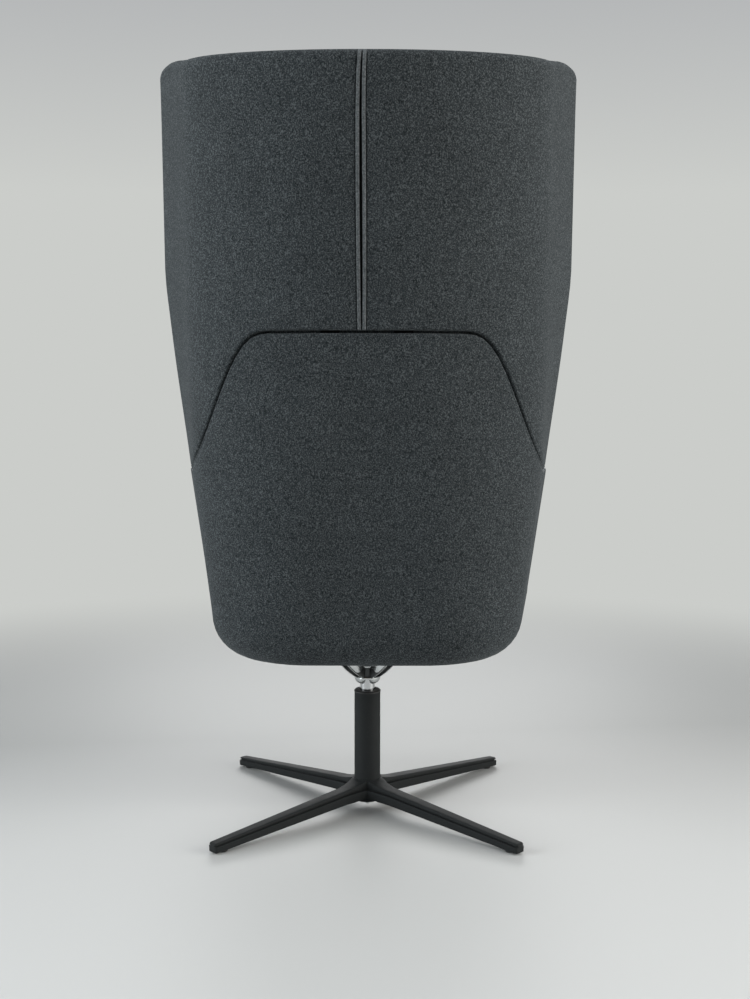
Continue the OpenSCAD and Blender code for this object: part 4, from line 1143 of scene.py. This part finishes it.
def leg_section(r):
    """Half widths and heights of a leg at the distance r from the axis."""
    t = np.clip((r - LEG_ROOT) / (BASE_R - LEG_ROOT), 0.0, 1.0)
    low = HUB_LOW + (TIP_LOW - HUB_LOW) * t
    tall = (LEG_TOP - HUB_LOW) + (TIP_H - LEG_TOP + HUB_LOW) * t
    pad = UNDER_PAD * np.clip((r - HUB_V) / 16.0, 0.0, 1.0) * (1.0 - 0.5 * t)
    low, tall = low - pad, tall + pad
    near_blade = np.clip((BLADE_FILLET - r) / (BLADE_FILLET - HUB_V), 0.0, 1.0)
    near_rib = np.clip((RIB_FILLET - r) / (RIB_FILLET - COLLAR_R), 0.0, 1.0)
    blade = BLADE_ROOT + (BLADE_TIP - BLADE_ROOT) * t
    blade = blade + (HUB_V * NEIGHBOUR - blade) * near_blade ** 2.4
    rib = RIB_ROOT + (RIB_TIP - RIB_ROOT) * t
    rib = rib + (COLLAR_R * NEIGHBOUR - rib) * near_rib ** 2.6
    rise = (COLLAR_TOP - LEG_TOP) * near_rib ** 2.2
    end = np.clip((r - (BASE_R - LEG_END)) / LEG_END, 0.0, 1.0)
    narrow = np.sqrt(1.0 - 0.4 * end ** 2.2)
    return (blade * narrow, rib * narrow, low + end ** 3,
            low + tall * (1.0 - 0.09 * end ** 3) + rise, low + tall * LEDGE, near_rib)


def leg_profile(r):
    """The lines of half a section: top, side, blade and underside, as (sideways, height)."""
    blade, rib, low, top, ledge, near = leg_section(r)
    crown = 1.0 - near ** 0.7
    upper = [(rib * s, top - drop * crown) for s, drop in
             ((0.0, 0.0), (0.4, 0.05), (0.7, 0.2), (0.84, 0.5), (0.93, 1.1), (0.98, 1.9))]
    groove = GROOVE * min(1.0, (r - COLLAR_R) / 12.0)
    side = [(rib, top - 2.9 * crown), (rib, ledge + 3.5), (rib - 0.3 * groove, ledge + 3.1),
            (rib - groove, ledge + 2.6), (rib - groove, ledge + 0.1),
            (rib - 0.7 * groove, ledge), (max(blade - 0.8, rib + 0.4), ledge)]
    wide = max(blade, rib + 0.6)
    blade_side = [(wide, ledge - 0.8), (wide - 0.2, low + 3.0), (blade - 0.7, low + 0.9)]
    under = [(blade - 2.2, low), (blade * 0.5, low), (0.0, low)]
    return upper, side, blade_side, under


# %% Rows of points on cylinders, for half a leg
LINES = {r: leg_profile(r) for r in STATIONS}
for r, drop in ((TUBE_R, 0.3), (BORE_EDGE, 0.0)):
    rim_line = [(p[0] / COLLAR_R * r, COLLAR_TOP - drop) for p in LINES[COLLAR_R][0]]
    LINES[r] = (rim_line, *LINES[COLLAR_R][1:3], LINES[r][3])


def on_cylinder(r, pairs):
    """Pairs as points at the distance r, kept on this side of the 45 degree plane."""
    return [(math.sqrt(r * r - y * y), y, z)
            for y, z in ((min(across, r * NEIGHBOUR), z) for across, z in pairs)]


def upper_row(r):
    upper, side = LINES[r][:2]
    last = (NEIGHBOUR * r, upper[-1][1]) if r <= COLLAR_R else side[0]
    return on_cylinder(r, upper + [last])


def side_row(r):
    row = LINES[r][1]
    if r == COLLAR_R:
        row = [(NEIGHBOUR * r, z) for z in [LINES[r][0][-1][1]] + [q[1] for q in row[1:]]]
    if COLLAR_R < r <= HUB_V:
        row = row[:-1] + [(NEIGHBOUR * r, row[-1][1])]
    return on_cylinder(r, row)


def blade_row(r):
    rest = LINES[r][2] + [LINES[r][3][0]]
    if r <= HUB_V:
        rest = [(NEIGHBOUR * r, z) for _, z in rest]
    return side_row(r)[-1:] + on_cylinder(r, rest)


def under_row(r):
    row = LINES[r][3]
    if r <= HUB_V:
        row = [(NEIGHBOUR * r * share, HUB_LOW) for share in np.linspace(1.0, 0.0, len(row))]
    return on_cylinder(r, row)


def bore_row(point):
    angle = math.atan2(point[1], point[0])
    return [point, (TUBE_R * math.cos(angle), TUBE_R * math.sin(angle), HUB_LOW)]


# %% Make the base
def star_base(name, material):
    end = (upper_row(BASE_R) + side_row(BASE_R)[1:] + blade_row(BASE_R)[1:]
           + under_row(BASE_R)[1:])
    half, faces = joined([
        sheet([upper_row(r) for r in STATIONS]),
        sheet([side_row(r) for r in STATIONS if r >= COLLAR_R]),
        sheet([blade_row(r) for r in STATIONS if r >= HUB_V]),
        sheet([under_row(r) for r in STATIONS]),
        sheet([bore_row(point) for point in upper_row(TUBE_R)]),
        (arr(end), [tuple(range(len(end)))]),
    ])
    halves = [(half * arr([1.0, flip, 1.0]) @ about(math.radians(turn)), faces)
              for turn in (45.0, 135.0, 225.0, 315.0) for flip in (1.0, -1.0)]
    base = mesh_object(name, *joined(halves), "base", material, sharp=38)
    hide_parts("four_star_base")


# %% [markdown]
# ## Coated, moulded and bare metal
# Powder coat is a thin melted plastic: it has a fine orange peel and tiny dips, and it shines
# softly. Moulded nylon looks much the same but duller. Both use one group for the peel.
# Polished and plated metal is never quite even either. Wiping leaves faint smears, so a
# second group varies the roughness. Its marks are stretched along one direction.

# %% Peel and smear groups
EVEN = (1.0, 1.0, 1.0)


def coating_peel(group, given):
    sized = stretched(group, EVEN, given["Peel Size"])
    patches = noise(group, stretched(group, EVEN, 1.0), 26.0, 3.0, 0.6)
    specks = ramp(group, noise(group, sized, 0.6, 1.0, 0.5), [(0.66, 0.0), (0.74, 1.0)])
    dusty = math_node(group, "MULTIPLY", specks, 0.35)
    uneven = math_node(group, "MULTIPLY_ADD", patches, 0.16, -0.08)
    return (mix_colour(group, dusty, given["Color"], given["Worn Color"]),
            math_node(group, "ADD", given["Roughness"], uneven),
            noise(group, sized, 1.0, 2.0, 0.5))


def wiped_metal(group, given):
    along = stretched(group, (1.0, 1.0, 6.0), given["Smear Size"])
    smears = noise(group, along, 1.0, 4.0, 0.6)
    scratches = noise(group, along, 14.0, 2.0, 0.5)
    darker = mix_colour(group, 1.0, given["Color"], grey(0.82), "MULTIPLY")
    uneven = math_node(group, "MULTIPLY_ADD", smears, 0.12, -0.06)
    rough = math_node(group, "ADD", given["Roughness"], uneven)
    return (mix_colour(group, smears, given["Color"], darker),
            math_node(group, "MAXIMUM", rough, 0.03), scratches)


PEEL = make_group("coating_peel", {"Color": (0.02, 0.022, 0.023), "Peel Size": 900.0,
                                   "Worn Color": (0.06, 0.063, 0.065), "Roughness": 0.42},
                  coating_peel)
SMEAR = make_group("wiped_metal", {"Color": (0.7, 0.7, 0.7), "Roughness": 0.14,
                                   "Smear Size": 60.0}, wiped_metal)


# %% Coated and metal materials
def coated(name, colour, worn, rough, size=900.0, specular=0.5):
    values = {"Color": colour, "Worn Color": worn, "Roughness": rough, "Peel Size": size}
    return grouped_material(name, PEEL, values, 0.18, 0.0004, {"Specular IOR Level": specular})


def bare(name, colour, rough, size, bump=0.02):
    values = {"Color": colour, "Roughness": rough, "Smear Size": size}
    return grouped_material(name, SMEAR, values, bump, 0.0002, {"Metallic": 1.0})


powder_coat = coated("powder_coat", (0.011, 0.013, 0.0135), (0.033, 0.036, 0.038), 0.72,
                     specular=0.26)
glide_nylon = coated("glide_nylon", (0.010, 0.0105, 0.011), grey(0.03), 0.5, 1400.0)
buffer_rubber = coated("buffer_rubber", grey(0.014), grey(0.05), 0.8, 700.0)
cage_nylon = coated("cage_nylon", (0.62, 0.56, 0.38), (0.7, 0.66, 0.5), 0.45, 1200.0)
# Near-black straps, darker than any coating, so that they read as the shade in the seam's gap:
# painted shade.
strap_black_painted_shade = coated("strap_black_painted_shade", grey(0.002), grey(0.004), 0.8, specular=0.1)
dark_steel = bare("dark_steel", (0.10, 0.105, 0.11), 0.38, 90.0)
zinc_steel = bare("zinc_steel", (0.55, 0.57, 0.60), 0.32, 120.0)
bright_chrome = bare("bright_chrome", (0.62, 0.63, 0.64), 0.12, 40.0)
cast_polish = bare("cast_polish", (0.62, 0.64, 0.645), 0.22, 70.0)
# A rough cast skin, darkened as painted shade for the hollows and the faces under the arms.
cast_skin_and_painted_shade = bare("cast_skin_and_painted_shade", (0.085, 0.09, 0.092), 0.5, 300.0, 0.1)
star_base("star_base_cast", powder_coat)

# %% [markdown]
# ## Spider
# The casting under the seat has four arms that rise from a collar to round pads. An arm is a
# channel: its underside is hollow between two thin rims. The rims are polished and bright; the
# hollow and the faces under the arms get a rough cast skin whose dark colour is painted shade.
# The collar ends in four rounded lobes with an arch between each pair, through which the shaft
# shows.

# %% An arm of the spider
ARM_HALF, ARM_RIM, ARM_HOLLOW, ARM_STEPS = 12.5, 4.4, 7.0, 18
PAD_R, PAD_LOW, PAD_TOP, PAD_HOLE_R = 16.0, 317.9, 324.6, 4.5
PAD_PLACE = 70.0 * math.sqrt(2.0)
PAD_PROFILE = [(PAD_HOLE_R, PAD_TOP), (PAD_HOLE_R, PAD_LOW), (PAD_R - 2.2, PAD_LOW),
               (PAD_R - 0.7, PAD_LOW + 0.5), (PAD_R, PAD_LOW + 2.0), (PAD_R, PAD_TOP - 0.6),
               (PAD_R - 0.6, PAD_TOP)]
# 1, the rough cast skin with its dark colour as painted shade, for the hollow and the side's
# lower part; 0, polished, elsewhere.
ARM_FINISH = [0, 0, 0, 1, 1, 0, 0, 0, 0, 0, 1, 1, 1, 1]


def arm_curve(start, end, sag, t):
    line = arr(start)[None, :] * (1 - t[:, None]) + arr(end)[None, :] * t[:, None]
    line[:, 1] += sag * 4 * t * (1 - t)
    return line


def arm_rings():
    """Rings of one arm along +X. A ring goes round the section, from rim to rim."""
    t = np.linspace(0.0, 1.0, ARM_STEPS + 1)
    low = arm_curve((20.0, 254.0), (PAD_PLACE - 7.5, PAD_LOW), -5.6, t)
    top = arm_curve((14.5, 300.0), (PAD_PLACE - 9.0, PAD_TOP), -4.9, t)
    rings = []
    w, rim = ARM_HALF, ARM_HALF - ARM_RIM
    for (r0, z0), (r1, z1), share in zip(low, top, t):
        tall = math.hypot(r1 - r0, z1 - z0)
        hollow = min(ARM_HOLLOW, tall * 0.45) * min(1.0, (1.0 - share) * 6.0)
        # cast: how high the side's dark band of painted shade reaches; it is tallest near the
        # collar.
        cast = 2.0 + 22.0 * max(0.0, 1.0 - share / 0.32) ** 1.5
        section = [(w - 2.5, tall), (w - 0.7, tall - 0.8), (w, tall - 2.8), (w, cast),
                   (w - 0.5, cast - 0.8), (w - 0.5, 1.6), (w, 1.0), (w - 0.4, 0.25),
                   (w - 1.0, 0.0), (rim + 0.5, 0.0), (rim, 0.5), (rim - 0.5, hollow * 0.75),
                   (rim - 2.0, hollow * 0.97), (w * 0.35, hollow)]
        section = [(-s, h) for s, h in section] + [(0.0, hollow)] + section[::-1]
        up = arr([r1 - r0, z1 - z0]) / tall
        rings.append(arr([(r0 + up[0] * h, s, z0 + up[1] * h) for s, h in section]))
    return rings


# %% The spider's collar
LOBE_LOW, LOBE_TOP, LOBE_R, LOBE_FOOT_R = 243.2, 256.5, 25.3, 15.0
ARCH_HALF, ARCH_TALL, COLLAR_COLUMNS = 9.0, 11.5, 96
SOCKET_R, SHAFT_HOLE_R, SOCKET_TOP = 21.0, 14.05, 308.0
RING_LOW, RING_TOP = 276.0, 279.6


def arch_low(radius, turn):
    """Height where the arch ends on a surface whose radius is given for each height."""
    rise = np.linspace(0.0, 1.0, 60)
    cut = abs(math.sin(turn)) * radius(LOBE_LOW + ARCH_TALL * rise)
    open_part = rise[cut < ARCH_HALF * np.sqrt(1.0 - rise ** 2)]
    return LOBE_LOW + ARCH_TALL * (open_part[-1] if len(open_part) else 0.0)


def lobe_radius(z):
    down = np.clip((LOBE_TOP - z) / (LOBE_TOP - LOBE_LOW), 0.0, 1.0)
    return LOBE_FOOT_R + (LOBE_R - LOBE_FOOT_R) * np.sqrt(np.maximum(1.0 - down ** 2.4, 0.0))


def collar_rings():
    """One ring per direction, so that the arches can raise the lower edge."""
    rings = []
    for angle in np.arange(COLLAR_COLUMNS) * 2 * math.pi / COLLAR_COLUMNS:
        turn = (angle + math.pi / 4) % (math.pi / 2) - math.pi / 4
        inner_low = arch_low(lambda z: SHAFT_HOLE_R + 0.0 * z, turn)
        zs = np.linspace(arch_low(lobe_radius, turn), LOBE_TOP, 8)
        lobe = np.column_stack([lobe_radius(zs), zs])
        lobe[0, 0] -= 0.5
        rows = [(SHAFT_HOLE_R, SOCKET_TOP - 2.0), (SHAFT_HOLE_R, inner_low + 1.0),
                (SHAFT_HOLE_R + 0.5, inner_low), *lobe,
                (LOBE_R - 0.6, LOBE_TOP + 0.7), (SOCKET_R - 0.6, LOBE_TOP + 0.9),
                (SOCKET_R - 0.6, LOBE_TOP + 1.8), (SOCKET_R, LOBE_TOP + 2.2),
                (SOCKET_R, RING_LOW), (SOCKET_R + 1.8, RING_LOW + 0.6),
                (SOCKET_R + 1.8, RING_TOP - 0.6), (SOCKET_R, RING_TOP),
                (SOCKET_R, SOCKET_TOP - 2.0), (SOCKET_R - 2.0, SOCKET_TOP)]
        rings.append(arr([(r * math.cos(angle), r * math.sin(angle), z) for r, z in rows]))
    return rings


# %% Make the spider
def spider(name, material):
    collar = collar_rings()
    roof = closed_rings([circle(SOCKET_R - 2.0, z) for z in (SOCKET_TOP - 4.0, SOCKET_TOP)])
    pad = wrapped([circle(r, z, PAD_PLACE) for r, z in PAD_PROFILE])
    arm = closed_rings(arm_rings())
    parts = [wrapped(collar), roof]
    # The dark rough metal, painted shade, goes on the socket, the ring's upper and lower faces,
    # a band in the shaft hole and the roof.
    finish = [int(j == 1 or 10 < j < 20 and j != 16) for j in range(len(collar[0]))]
    finish = finish * COLLAR_COLUMNS + [1] * len(roof[1])
    for k in range(4):
        turn = about(math.pi / 4 + k * math.pi / 2)
        parts += [(points @ turn, faces) for points, faces in (arm, pad)]
        finish += (ARM_FINISH + ARM_FINISH[::-1] + [0]) * ARM_STEPS + [0, 0]
        finish += [0] * len(pad[1])
    made = mesh_object(name, *joined(parts), "seat", material, sharp=42, more=(cast_skin_and_painted_shade,),
                       finish=finish)
    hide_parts("spider")


spider("spider_cast", cast_polish)

# %% [markdown]
# ## Wood and plain cloth
# The hidden parts are dressed too, since the part may be turned over or opened. Plywood has
# a stretched grain with thin dark lines. The cloth under the board is a plain weave: two
# sets of threads that pass over and under each other, which two waves multiplied give.

# %% Plywood and cloth
WEAVE_PITCH = 3600.0


def plywood_material():
    material, tree = new_material("beech_plywood")
    along = stretched(tree, (9.0, 90.0, 90.0), 1.0)
    grain = noise(tree, along, 1.0, 5.0, 0.62)
    pores = noise(tree, along, 6.0, 2.0, 0.5)
    wood = ramp(tree, grain, [(0.3, (0.30, 0.19, 0.10)), (0.55, (0.46, 0.31, 0.17)),
                              (0.75, (0.56, 0.40, 0.24))])
    fleck = ramp(tree, pores, [(0.58, 1.0), (0.7, 0.55)])
    colour = mix_colour(tree, 1.0, wood, fleck, "MULTIPLY")
    end_material(tree, colour, 0.55, pores, 0.2, 0.0006)
    return material


def plain_weave_material():
    material, tree = new_material("plain_weave")
    coords = add(tree, "ShaderNodeTexCoord").outputs["Object"]
    axes = add(tree, "ShaderNodeSeparateXYZ", {0: coords}).outputs
    waves = [math_node(tree, "SINE", math_node(tree, "MULTIPLY", axes[axis], WEAVE_PITCH))
             for axis in ("X", "Y")]
    weave = math_node(tree, "MULTIPLY", *waves)
    uneven = noise(tree, coords, 300.0, 2.0, 0.5)
    tone = math_node(tree, "MULTIPLY_ADD", weave, 0.3, uneven)
    colour = ramp(tree, tone, [(0.2, 0.006), (0.9, 0.028)])
    end_material(tree, colour, 0.85, weave, 0.3, 0.0005)
    return material


beech_plywood = plywood_material()
plain_weave = plain_weave_material()
print("materials", len(bpy.data.materials))

# %% [markdown]
# ## Dress the solids that stay
# Turned, drilled and flat parts are already right as solids. They keep their shape and only
# get a finish, by putting the material in the solid's own slot.

# %% Give each solid its finish
FINISH = {
    powder_coat: ["column_tube"],
    glide_nylon: ["foot_glides", "column_bush"],
    buffer_rubber: ["buffer_ring"],
    cage_nylon: ["ball_cage"],
    dark_steel: ["column_end_plate", "rod_clip", "spider_bolts"],
    strap_black_painted_shade: ["joining_straps"],
    zinc_steel: ["column_rod", "rod_washer", "lower_race", "thrust_balls", "upper_race",
                 "spider_washers", "t_nuts", "board_screws", "strap_screws"],
    bright_chrome: ["column_shaft"],
    beech_plywood: ["seat_board", "lower_shell", "hood_shell"],
    plain_weave: ["dust_cover"],
}


def dress(material, node):
    pieces = [p for p in (node, *node.children_recursive) if p.type == "MESH"]
    for piece in pieces:
        for slot in piece.material_slots:
            slot.material = material
    return len(pieces)


print("dressed solids", sum(dress(material, frame["nodes"][name])
                            for material, names in FINISH.items() for name in names))
